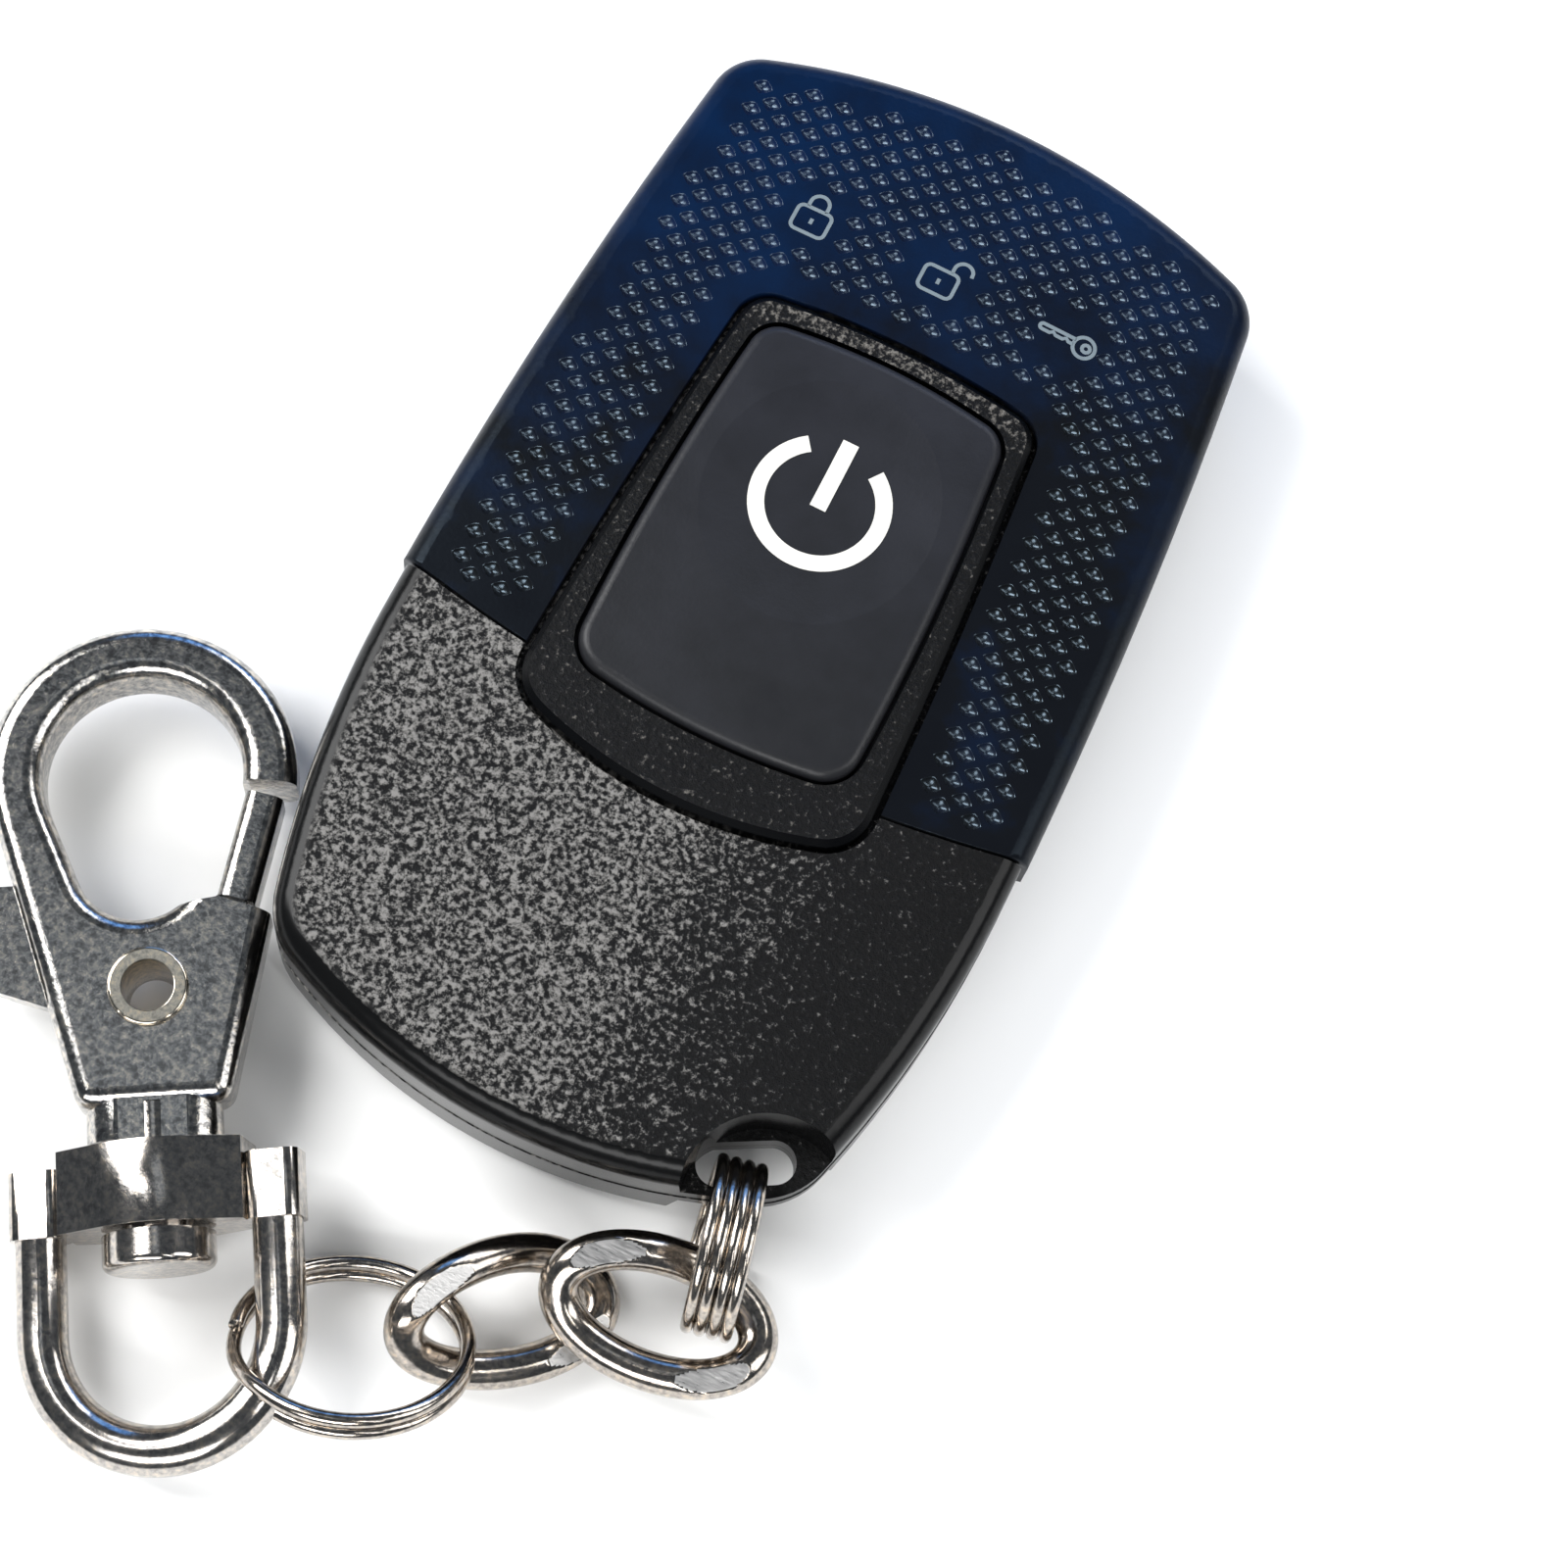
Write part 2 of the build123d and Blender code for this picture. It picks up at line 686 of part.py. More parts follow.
def coil_ring():
    line = ring_line(coil_mean_r, coil_pitch, coil_turns)
    print("coil ring, least gap to itself", round(least_gap(line, coil_wire, 2 * pi * coil_mean_r), 2))
    place = from_eyelet(coil_offset, (tab_low_z + tab_high_z) / 2)
    place *= Rot(0, 0, coil_axis_turn) * Rot(0, 90, 0) * Rot(0, 0, coil_start)
    return place * wire_solid(line, coil_wire / 2)


def split_ring():
    line = ring_line(split_mean_r, split_pitch, split_turns)
    print("split ring, least gap to itself", round(least_gap(line, split_wire, 2 * pi * split_mean_r), 2))
    place = from_eyelet(split_offset, split_z) * Rot(0, 0, split_heading) * Rot(0, split_lean, 0)
    place *= Rot(0, 0, split_start)
    return place * wire_solid(line, split_wire / 2)


def chain_link(place, turns):
    """Oval link of round wire, twisted so that two corners stand proud and are ground flat."""
    half_length = (link_length - link_wire) / 2
    half_width = (link_width - link_wire) / 2

    def curve(angle):
        return Vector(half_length * cos(angle), half_width * sin(angle), -link_twist * sin(2 * angle))

    def way(angle):
        rise = -2 * link_twist * cos(2 * angle)
        return Vector(-half_length * sin(angle), half_width * cos(angle), rise).normalized()

    half = wire_solid(wire_along(curve, way, [n * pi / 4 for n in range(5)]), link_wire / 2)
    link = half + Rot(0, 0, 180) * half
    link &= Box(2 * link_length, 2 * link_width, 2 * link_ground_height)
    spin_x, spin_y, spin_z = turns
    return place * Rot(0, 0, spin_z) * Rot(0, spin_y, 0) * Rot(spin_x, 0, 0) * link


def clasp(solid):
    """A piece of the clasp, moved from the clasp's own axes to its place."""
    return from_eyelet(clasp_offset, clasp_z) * Rot(0, 0, clasp_turn) * solid


def hook_outline():
    """Outline of the hook body: the loop running down into a tapered plate."""
    plate = Polygon((hook_foot_left, hook_foot_y), (hook_foot_right, hook_foot_y),
                    (hook_shoulder_x, hook_shoulder_y), (0, hook_loop_y), align=None)
    loop = Pos(0, hook_loop_y) * Circle(hook_loop_r)
    outline = make_hull([*plate.edges(), *loop.edges()])
    return fillet(outline.vertices().sort_by(Axis.Y)[:2], hook_edge_r)


def hook_hole():
    """The rounded hole of the hook."""
    hole = Pos(0, hook_loop_y) * Circle(hook_hole_r)
    throat = Pos(hook_throat_x, hook_throat_y) * Circle(hook_throat_r)
    return make_hull([*hole.edges(), *throat.edges()])


def gate_side():
    """The open side of the hook, which the gate closes."""
    low_x, low_y = gate_low
    drop = gate_bar_width / 2
    return Polygon((0, hook_throat_y), (hook_throat_x + hook_throat_r / 2, low_y - gate_gap),
                   (low_x - drop, low_y), (low_x + 2 * drop, low_y - drop),
                   (2 * hook_loop_r, low_y - drop), (2 * hook_loop_r, hook_tip_y - drop),
                   (hook_hole_r - drop, hook_tip_y + drop / 2), (0, hook_tip_y), align=None)


def gate_pocket():
    """Slot in the middle of the hook body, in which the gate's plate turns."""
    low_x, low_y = gate_low
    bar = gate_bar_width / 2
    free = Circle(gate_hub_r + gate_gap)
    right = Polygon((0, 0), (gate_hub_r + gate_gap, -gate_gap), (low_x + bar + gate_gap, low_y),
                    (low_x, hook_loop_y), (-low_x, hook_loop_y), (-gate_hub_r, 0), align=None)
    swung_y = -gate_hub_r - gate_gap
    left = Polygon((0, swung_y), (2 * lever_end_x, 3 * swung_y), (2 * lever_end_x, lever_high_y + gate_gap),
                   (0, lever_high_y + gate_gap), align=None)
    return slab(free + right + left, -pocket_thickness / 2, pocket_thickness / 2)


def hook_body():
    body = slab(hook_outline() - hook_hole(), -hook_half, hook_half)
    ends = body.faces().sort_by(Axis.Z)
    body = fillet(ends[-1].edges() + ends[0].edges(), hook_edge_r)
    body -= slab(gate_side(), -hook_thickness, hook_thickness)
    neck_face = Plane.XZ.offset(-neck_end_y) * RectangleRounded(neck_width, neck_height,
                                                                neck_height / 2 - 2 * fit_gap)
    neck = extrude(neck_face, neck_end_y - hook_foot_y - overrun)
    body += neck
    body -= gate_pocket()
    body -= rod(0, 0, -hook_thickness, hook_thickness, rivet_r + fit_gap)
    seat = Plane.XZ.offset(-neck_end_y) * Circle(stem_r + fit_gap)
    return clasp(body - extrude(seat, -stem_seat))


def swivel_stem():
    head_y = hub_top_y - hub_length - hub_play
    shaft = Plane.XZ.offset(-head_y) * Circle(stem_r)
    head = Plane.XZ.offset(-head_y) * Circle(stem_head_r)
    shaft_length = neck_end_y + stem_seat - fit_gap - head_y
    knob = extrude(head, stem_head_length)
    knob = fillet(knob.edges().sort_by(Axis.Y)[0], stem_head_length / 4)
    return clasp(knob + extrude(shaft, -shaft_length))


def swivel_eye():
    hub_low_y = hub_top_y - hub_length
    arm_x = eye_half
    barrel = Pos(0, hub_r - hub_face_r) * Circle(hub_face_r)
    barrel &= Pos(0, hub_face_r - hub_r) * Circle(hub_face_r)
    barrel &= Rectangle(hub_width, 2 * hub_r)
    ends = Rectangle(hub_width, hub_end_thickness)
    barrel = make_hull([*barrel.edges(), *ends.edges()]) - Circle(stem_r + running_gap)
    hub = extrude(Plane.XZ.offset(-hub_top_y) * barrel, hub_length)
    for side in (-1, 1):
        ear = Pos(side * arm_x, 0) * RectangleRounded(eye_block, eye_block, eye_block_r)
        hub += extrude(Plane.XZ.offset(-ear_top_y) * ear, ear_top_y - hub_low_y)
    start_y = hub_low_y + eye_block / 2
    line = Wire([Line((-arm_x, start_y), (-arm_x, eye_bend_y)),
                 ThreePointArc((-arm_x, eye_bend_y), (0, eye_bend_y - arm_x), (arm_x, eye_bend_y)),
                 Line((arm_x, eye_bend_y), (arm_x, start_y))])
    bow = wire_solid(line.edges(), eye_wire_r)
    return clasp(Rot(0, -eye_roll, 0) * (hub + bow))


def gate_lever():
    low = Vector(*gate_low)
    high = Vector(*gate_high)
    way = (high - low).normalized()
    side = Vector(way.Y, -way.X) * (gate_bar_width / 2)
    bar = Polygon(low - side, low + side, high + side, high - side, align=None)
    bar = slab(bar, -gate_bar_thickness / 2, gate_bar_thickness / 2)
    bar = fillet(bar.edges().filter_by(Axis.Z, reverse=True).filter_by(lambda e: e.length > gate_bar_width * 2),
                 gate_bar_width / 3)
    arm = Polygon((0, 0), (gate_hub_r / 2, -gate_hub_r / 2), low + side / 2, low + way * overrun,
                  low - side, (-gate_hub_r / 2, gate_hub_r / 2), align=None)
    plate = Circle(gate_hub_r) + arm
    plate = slab(plate, 0, gate_plate_thickness)
    lever = Polygon((0, -gate_hub_r), (lever_end_x, lever_low_y), (lever_end_x, lever_high_y),
                    (lever_end_x / 2, lever_high_y), (0, gate_hub_r), align=None)
    lever = slab(lever, 0, gate_plate_thickness)
    lever = fillet(lever.edges().filter_by(Axis.Z).sort_by(Axis.X)[:2], lever_corner_r)
    gate = bar + plate + lever
    return clasp(gate - rod(0, 0, -hook_thickness, hook_thickness, rivet_r + running_gap))


def gate_rivet():
    reach = hook_half + rivet_flange_thickness
    tube = rod(0, 0, -reach, reach, rivet_r)
    for low in (-reach, hook_half):
        tube += rod(0, 0, low, low + rivet_flange_thickness, rivet_flange_r)
    tube = fillet([tube.edges().sort_by(Axis.Z)[0], tube.edges().sort_by(Axis.Z)[-1]],
                  rivet_flange_thickness / 2)
    return clasp(tube - rod(0, 0, -2 * reach, 2 * reach, rivet_bore_r))


def antenna_coil():
    axis_z = board_bottom_z - antenna_drop
    line = winding(antenna_r, antenna_pitch, antenna_turns)
    place = Pos(0, antenna_y, axis_z) * Rot(0, 90, 0) * Rot(0, 0, 180)
    return place * wire_solid(line, antenna_wire / 2)


def gate_spring():
    turn_count = 1
    low = -pocket_thickness / 2 + spring_wire
    middle = low + spring_pitch * turn_count / 2
    line = winding(spring_mean_r, spring_pitch, turn_count)
    start, end = line[0] @ 0, line[-1] @ 1
    foot = Line(start - (line[0] % 0) * spring_leg, start)
    leg = Line(end, end + (line[-1] % 1) * spring_leg)
    return clasp(Pos(0, 0, middle) * Rot(0, 0, -90) * wire_solid([foot, *line, leg], spring_wire / 2))


pieces = {
    "rear_shell": rear_shell(),
    "front_shell": front_shell(),
    "upper_cover": upper_cover(),
    "button_bezel": button_bezel(),
    "start_button": start_button(),
    "button_membrane": button_membrane(),
    "circuit_board": circuit_board(),
    "tact_switch": tact_switch(),
    "switch_plunger": switch_plunger(),
    "main_chip": main_chip(),
    "radio_module": radio_module(),
    "crystal": crystal(),
    "indicator_lamps": indicator_lamps(),
    "light_guides": light_guides(),
    "coin_cell": coin_cell(),
    "battery_contact_negative": battery_contact_negative(),
    "battery_contact_positive": battery_contact_positive(),
    "battery_door": battery_door(),
    "door_seal": door_seal(),
    "shell_screws": shell_screws(),
    "antenna_coil": antenna_coil(),
    "coil_jump_ring": coil_ring(),
    "chain_link_1": chain_link(from_eyelet(link_1_offset, link_1_z), link_1_turns),
    "chain_link_2": chain_link(from_eyelet(link_2_offset, link_2_z), link_2_turns),
    "split_ring": split_ring(),
    "hook_body": hook_body(),
    "swivel_stem": swivel_stem(),
    "swivel_eye": swivel_eye(),
    "gate_lever": gate_lever(),
    "gate_rivet": gate_rivet(),
    "gate_spring": gate_spring(),
}

for name, piece in pieces.items():
    if isinstance(piece, list):
        piece = Compound(children=piece)
    export_step(piece, f"parts/{name}.step")
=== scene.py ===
from math import cos, hypot, pi, radians, sin, sqrt

import bmesh
import bpy
from mathutils import Matrix, Vector


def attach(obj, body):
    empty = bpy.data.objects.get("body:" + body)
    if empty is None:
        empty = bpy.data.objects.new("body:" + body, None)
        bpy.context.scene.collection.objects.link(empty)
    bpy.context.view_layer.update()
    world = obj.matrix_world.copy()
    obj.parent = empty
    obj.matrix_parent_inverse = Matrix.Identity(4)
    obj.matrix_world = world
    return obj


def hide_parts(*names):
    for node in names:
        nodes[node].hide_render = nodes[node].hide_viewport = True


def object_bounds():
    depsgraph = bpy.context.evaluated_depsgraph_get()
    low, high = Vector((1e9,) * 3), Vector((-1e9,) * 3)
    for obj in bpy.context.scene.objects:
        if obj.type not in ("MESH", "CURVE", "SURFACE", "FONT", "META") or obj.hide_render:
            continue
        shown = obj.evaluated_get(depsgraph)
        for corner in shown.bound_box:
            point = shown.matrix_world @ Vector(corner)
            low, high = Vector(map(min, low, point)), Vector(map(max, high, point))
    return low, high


MM = 0.001

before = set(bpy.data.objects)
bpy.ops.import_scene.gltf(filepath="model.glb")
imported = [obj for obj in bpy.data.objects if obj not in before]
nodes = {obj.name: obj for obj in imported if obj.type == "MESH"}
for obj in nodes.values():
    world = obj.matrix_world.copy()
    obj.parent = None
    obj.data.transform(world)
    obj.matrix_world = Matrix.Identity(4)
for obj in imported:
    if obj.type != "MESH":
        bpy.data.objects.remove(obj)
cad_low, cad_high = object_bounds()

scene = bpy.context.scene


# Camera

CAMERA_PLACE = (15.69, -63.13, 186.07)
CAMERA_TURN = (-17.0, -3.23, -26.31)
CAMERA_LENS = 78.75


def make_camera():
    data = bpy.data.cameras.new("camera")
    data.sensor_width = 36.0
    data.sensor_fit = "HORIZONTAL"
    data.lens = CAMERA_LENS
    data.clip_start = 0.01
    data.clip_end = 20.0
    camera = bpy.data.objects.new("camera", data)
    scene.collection.objects.link(camera)
    tilt, roll, pan = CAMERA_TURN
    turn = (Matrix.Rotation(radians(pan), 3, "Z") @ Matrix.Rotation(radians(roll), 3, "Y")
            @ Matrix.Rotation(radians(tilt), 3, "X"))
    camera.matrix_world = Matrix.Translation(Vector(CAMERA_PLACE) * MM) @ turn.transposed().to_4x4()
    scene.camera = camera


# Materials

class Nodes:
    """A material's node tree, with short calls to add nodes and join them."""

    def __init__(self, name, color, metallic=0.0, roughness=0.5, **sockets):
        self.material = bpy.data.materials.new(name)
        self.material.use_nodes = True
        self.tree = self.material.node_tree
        self.shader = self.tree.nodes["Principled BSDF"]
        self.set(self.shader, "Base Color", (*color, 1.0))
        self.set(self.shader, "Metallic", metallic)
        self.set(self.shader, "Roughness", roughness)
        for key, value in sockets.items():
            self.set(self.shader, key.replace("_", " "), value)
        coords = self.add("ShaderNodeTexCoord")
        self.place = self.add("ShaderNodeMapping")
        self.join(coords, "Object", self.place, "Vector")

    def add(self, kind, **values):
        node = self.tree.nodes.new(kind)
        for key, value in values.items():
            setattr(node, key, value)
        return node

    def set(self, node, socket, value):
        node.inputs[socket].default_value = value

    def join(self, a, out, b, into):
        self.tree.links.new(a.outputs[out], b.inputs[into])

    def noise(self, scale, detail=2.0, roughness=0.5):
        node = self.add("ShaderNodeTexNoise")
        self.set(node, "Scale", scale)
        self.set(node, "Detail", detail)
        self.set(node, "Roughness", roughness)
        self.join(self.place, "Vector", node, "Vector")
        return node

    def ramp(self, source, out, stops):
        node = self.add("ShaderNodeValToRGB")
        self.join(source, out, node, "Fac")
        ends = node.color_ramp.elements
        for end, (at, color) in zip(ends, (stops[0], stops[-1])):
            end.position = at
            end.color = (*color, 1.0)
        for at, color in stops[1:-1]:
            extra = ends.new(at)
            extra.color = (*color, 1.0)
        return node

    def remap(self, source, out, low, high, from_low=0.3, from_high=0.7):
        node = self.add("ShaderNodeMapRange")
        self.set(node, "From Min", from_low)
        self.set(node, "From Max", from_high)
        self.set(node, "To Min", low)
        self.set(node, "To Max", high)
        self.join(source, out, node, "Value")
        return node

    def facing_up(self, low, high):
        """0 where a face leans away from the fob's front or back, 1 where it lies flat."""
        coords, parts = self.add("ShaderNodeTexCoord"), self.add("ShaderNodeSeparateXYZ")
        size = self.add("ShaderNodeMath", operation="ABSOLUTE")
        self.join(coords, "Normal", parts, "Vector")
        self.join(parts, "Z", size, 0)
        return self.remap(size, "Value", 0.0, 1.0, low, high)

    def bump(self, source, out, distance, strength=1.0):
        node = self.add("ShaderNodeBump")
        self.set(node, "Strength", strength)
        self.set(node, "Distance", distance)
        self.join(source, out, node, "Height")
        self.join(node, "Normal", self.shader, "Normal")
        return node


GRAIN_DEPTH = 0.16 * MM
EDGE_ROUGHNESS = 0.22


def grained_plastic(name, color, rubbed_glint, roughness, wear):
    """Moulded plastic: a spark-eroded grain on the flat faces, smooth and glossy round edges. The grain's
    hollows are darkened as painted shade, and its peaks are painted paler, partly as wear and partly as
    painted glints.

    The wear argument is painted light: it makes the peaks paler towards one end of an axis. It holds the
    axis, two levels on it, and how much paler the peaks are at each."""
    axis, start, end, light_at_start, light_at_end = wear
    m = Nodes(name, color, roughness=roughness, Specular_IOR_Level=0.14)
    fine = m.noise(2900.0, 4.0, 0.68)
    flat = m.facing_up(0.95, 0.99)
    parts = m.add("ShaderNodeSeparateXYZ")
    m.join(m.place, "Vector", parts, "Vector")
    # painted light: the peaks painted paler towards one end of the axis
    painted_light = m.remap(parts, axis, light_at_start, light_at_end, start * MM, end * MM)
    peaks = m.add("ShaderNodeMath", operation="ADD", use_clamp=True)
    m.join(fine, "Fac", peaks, 0)
    m.join(painted_light, "Result", peaks, 1)
    # painted shade in the grain's hollows; the peaks painted paler, partly as wear and partly as painted
    # glints
    hollow_shade, slope = [c * 0.15 for c in color], [0.35 * c for c in rubbed_glint]
    tint = m.ramp(peaks, "Value", ((0.45, hollow_shade), (0.53, color), (0.58, slope), (0.68, rubbed_glint)))
    shade = m.add("ShaderNodeMix", data_type="RGBA")
    m.set(shade, 6, (*[c * 0.6 for c in color], 1.0))
    m.join(flat, "Result", shade, 0)
    m.join(tint, "Color", shade, 7)
    m.join(shade, 2, m.shader, "Base Color")
    relief = m.bump(fine, "Fac", GRAIN_DEPTH)
    m.join(flat, "Result", relief, "Strength")
    m.join(m.remap(flat, "Result", EDGE_ROUGHNESS, roughness, 0.0, 1.0), "Result", m.shader, "Roughness")
    return m.material


WHITE = (1.0, 1.0, 1.0)


def plastic_with_painted_reflection(name, low_color, reflection_color, roughness, levels, gloss=0.3, lean=0.0, glint=WHITE):
    """Smooth moulded plastic with faint flow marks, whose colour turns to a second colour along the fob as a
    painted reflection.

    levels are where the painted reflection starts and ends; lean turns its way, in radians."""
    m = Nodes(name, low_color, roughness=roughness, Specular_IOR_Level=gloss, Specular_Tint=(*glint, 1.0))
    m.place.inputs["Rotation"].default_value = (0.0, 0.0, lean)
    parts = m.add("ShaderNodeSeparateXYZ")
    m.join(m.place, "Vector", parts, "Vector")
    broad = m.noise(160.0, 4.0, 0.6)
    # painted reflection: the colour turns to the second colour towards the fob's top, standing in for the
    # reflection of a blue lamp behind it
    painted_reflection = m.remap(parts, "Y", 0.0, 1.0, levels[0] * MM, levels[1] * MM)
    cloud = m.remap(broad, "Fac", -0.35, 0.35)
    total = m.add("ShaderNodeMath", operation="ADD", use_clamp=True)
    m.join(painted_reflection, "Result", total, 0)
    m.join(cloud, "Result", total, 1)
    tint = m.ramp(total, "Value", ((0.0, low_color), (1.0, reflection_color)))
    m.join(tint, "Color", m.shader, "Base Color")
    m.join(m.remap(broad, "Fac", roughness - 0.07, roughness + 0.07), "Result", m.shader, "Roughness")
    fine = m.noise(3800.0, 2.0)
    m.bump(fine, "Fac", 0.00002, 0.5)
    return m.material


def plain_plastic(name, color, roughness):
    """Smooth moulded plastic with faint flow marks."""
    m = Nodes(name, color, roughness=roughness, Specular_IOR_Level=0.4)
    broad = m.noise(90.0, 3.0)
    tint = m.ramp(broad, "Fac", ((0.3, [c * 0.9 for c in color]), (0.7, [c * 1.1 for c in color])))
    m.join(tint, "Color", m.shader, "Base Color")
    rough = m.remap(broad, "Fac", roughness - 0.04, roughness + 0.05)
    m.join(rough, "Result", m.shader, "Roughness")
    fine = m.noise(2600.0, 1.0)
    m.bump(fine, "Fac", 0.00001, 0.4)
    return m.material


def polished_metal(name, color, roughness, wear=0.06, peel=0.00002, mottle=0.75):
    """Plated metal: an uneven polish, with fine pits and scuffs that break up what it mirrors."""
    m = Nodes(name, color, metallic=1.0, roughness=roughness)
    broad, fine = m.noise(420.0, 5.0, 0.65), m.noise(2300.0, 5.0, 0.72)
    m.join(m.remap(broad, "Fac", roughness, roughness + wear), "Result", m.shader, "Roughness")
    warm = (color[0] * 1.08, color[1], color[2] * 0.88)
    pitted, worn = [c * mottle * 0.8 for c in color], [c * (1 + mottle) / 2 for c in color]
    tint = m.ramp(fine, "Fac", ((0.38, pitted), (0.5, worn), (0.66, [min(1.0, c * 1.15) for c in warm])))
    m.join(tint, "Color", m.shader, "Base Color")
    m.bump(fine, "Fac", peel)
    return m.material


def ground_metal(name, color, roughness):
    """Ground faces of the links: fine parallel marks under the plating."""
    m = Nodes(name, color, metallic=1.0, roughness=roughness)
    m.place.inputs["Scale"].default_value = (1.0, 9.0, 9.0)
    m.place.inputs["Rotation"].default_value = (0.0, 0.0, 0.5)
    marks = m.noise(700.0, 4.0, 0.6)
    m.join(m.remap(marks, "Fac", roughness - 0.08, roughness + 0.12), "Result", m.shader, "Roughness")
    tint = m.ramp(marks, "Fac", ((0.3, [c * 0.75 for c in color]), (0.7, color)))
    m.join(tint, "Color", m.shader, "Base Color")
    m.bump(marks, "Fac", 0.00004, 0.6)
    return m.material


def print_paint(name, color):
    """Printed legend, slightly uneven at its edges."""
    m = Nodes(name, color, roughness=0.45)
    spots = m.noise(2400.0, 2.0)
    tint = m.ramp(spots, "Fac", ((0.3, [c * 0.9 for c in color]), (0.6, color)))
    m.join(tint, "Color", m.shader, "Base Color")
    m.bump(spots, "Fac", 0.000008, 0.5)
    return m.material


def give(node, material):
    slots = nodes[node].data.materials
    slots.clear()
    slots.append(material)


def dress_cad():
    looks = {
        # case: painted light, its grain paler on the left and darker to the right; bezel: a painted
        # highlight along its top, partly wear
        "case": grained_plastic("case_grained", (0.006, 0.0062, 0.0065), (0.21, 0.203, 0.192), 0.47,
                                ("X", 1.0, 13.0, 0.072, -0.1)),
        "bezel": grained_plastic("bezel_grained", (0.003, 0.0034, 0.0042), (0.16, 0.15, 0.135), 0.4,
                                 ("Y", 13.2, 16.4, -0.07, 0.07)),
        # cover, pits and button: bluer towards the top, a painted reflection
        "cover": plastic_with_painted_reflection("cover_satin", (0.0042, 0.0048, 0.0065), (0.0008, 0.0095, 0.038), 0.33,
                                (4.0, 34.0), 0.11, -0.5, (0.6, 0.8, 1.0)),
        "pit": plastic_with_painted_reflection("cover_pit_gloss", (0.006, 0.0065, 0.0075), (0.003, 0.011, 0.045), 0.27,
                              (4.0, 34.0), 0.75, -0.5, (0.62, 0.82, 1.0)),
        "button": plastic_with_painted_reflection("button_satin", (0.011, 0.0115, 0.0135), (0.0115, 0.0125, 0.0175), 0.42,
                                 (-8.0, 18.0)),
        "silicone": plain_plastic("silicone_grey", (0.45, 0.45, 0.43), 0.6),
        "light": plain_plastic("light_pipe_clear", (0.6, 0.62, 0.65), 0.2),
        "board": plain_plastic("board_green", (0.01, 0.09, 0.03), 0.35),
        "black": plain_plastic("component_black", (0.02, 0.02, 0.02), 0.5),
        "tin": polished_metal("tin_plate", (0.6, 0.6, 0.58), 0.35),
        "nickel": polished_metal("cell_nickel", (0.62, 0.62, 0.6), 0.25),
        "bronze": polished_metal("spring_bronze", (0.6, 0.48, 0.32), 0.3),
        "copper": polished_metal("copper_wire", (0.55, 0.22, 0.1), 0.35),
        "rubber": plain_plastic("seal_rubber", (0.02, 0.02, 0.02), 0.75),
        "screw": polished_metal("screw_black_oxide", (0.08, 0.08, 0.08), 0.35),
        "dark_chrome": polished_metal("dark_chrome", (0.5, 0.455, 0.41), 0.12, 0.06, 0.000008, 0.65),
        "ground": ground_metal("ground_nickel", (0.58, 0.57, 0.56), 0.34),
        "chrome": polished_metal("bright_chrome", (0.62, 0.605, 0.585), 0.08, 0.1, 0.000018, 0.42),
        "eye": polished_metal("eye_chrome", (0.53, 0.5, 0.47), 0.09, 0.09, 0.000007, 0.68),
        "brass": polished_metal("rivet_brass", (0.7, 0.63, 0.52), 0.1, 0.05, 0.000004, 0.8),
    }
    plan = {
        "case": ("rear_shell", "front_shell", "battery_door"),
        "bezel": ("button_bezel",),
        "cover": ("upper_cover",),
        "button": ("start_button",),
        "silicone": ("button_membrane",),
        "light": ("light_guides", "indicator_lamps"),
        "board": ("circuit_board",),
        "black": ("tact_switch", "switch_plunger", "main_chip"),
        "tin": ("radio_module", "crystal"),
        "nickel": ("coin_cell",),
        "bronze": ("battery_contact_negative", "battery_contact_positive", "gate_spring"),
        "copper": ("antenna_coil",),
        "rubber": ("door_seal",),
        "screw": ("shell_screws",),
        "dark_chrome": ("coil_jump_ring", "chain_link_1", "chain_link_2", "split_ring"),
        "chrome": ("hook_body", "gate_lever"),
        "eye": ("swivel_eye", "swivel_stem"),
        "brass": ("gate_rivet",),
    }
    for look, names in plan.items():
        for name in names:
            give(name, looks[look])
    return looks


CASTINGS = {"swivel_eye": 0.6, "hook_body": 0.28, "gate_lever": 0.2, "gate_rivet": 0.16}
SHARP_ANGLE = 38.0


def soften(name, width):
    """Takes the sharpness off a casting's edges."""
    weld = nodes[name].modifiers.new("weld", "WELD")
    weld.merge_threshold = 0.003 * MM
    bevel = nodes[name].modifiers.new("soften", "BEVEL")
    bevel.width = width * MM
    bevel.segments = 3
    bevel.limit_method = "ANGLE"
    bevel.angle_limit = radians(SHARP_ANGLE)


# Outlines and faces of the fob, in millimetres as in the CAD

CASE_WIDTH = 38.2
CASE_TOP_Y = 32.85
CASE_TOP_R = 46.0
CASE_WIDEST_Y = -9.5
CASE_SIDE_R = 345.0
CASE_CORNER = (15.0, 25.3)
CASE_CORNER_R = 6.4
SEAM_Y = 71.8
SEAM_R = 81.0

FACE_Z = 10.2
FACE_R = 700.0
FACE_FALL = 3.682 / CASE_WIDTH ** 2

BUTTON_Z = 10.95
DISH_Y = 6.5
DISH_Z = 10.5
DISH_R = 70.0

GAP_HIGH_Y = 13.0
GAP_HIGH_X = 9.3
GAP_LOW_Y = -7.5
GAP_LOW_X = 10.5
GAP_TOP_Y = 16.75
GAP_TOP_R = 60.0
GAP_BOTTOM_Y = -13.25
GAP_BOTTOM_R = 25.0


def crown(x, y, top=FACE_Z):
    """Height of the fob's crowned face."""
    across = FACE_R - FACE_FALL * x ** 2
    return top - FACE_R + sqrt(across ** 2 - y ** 2)


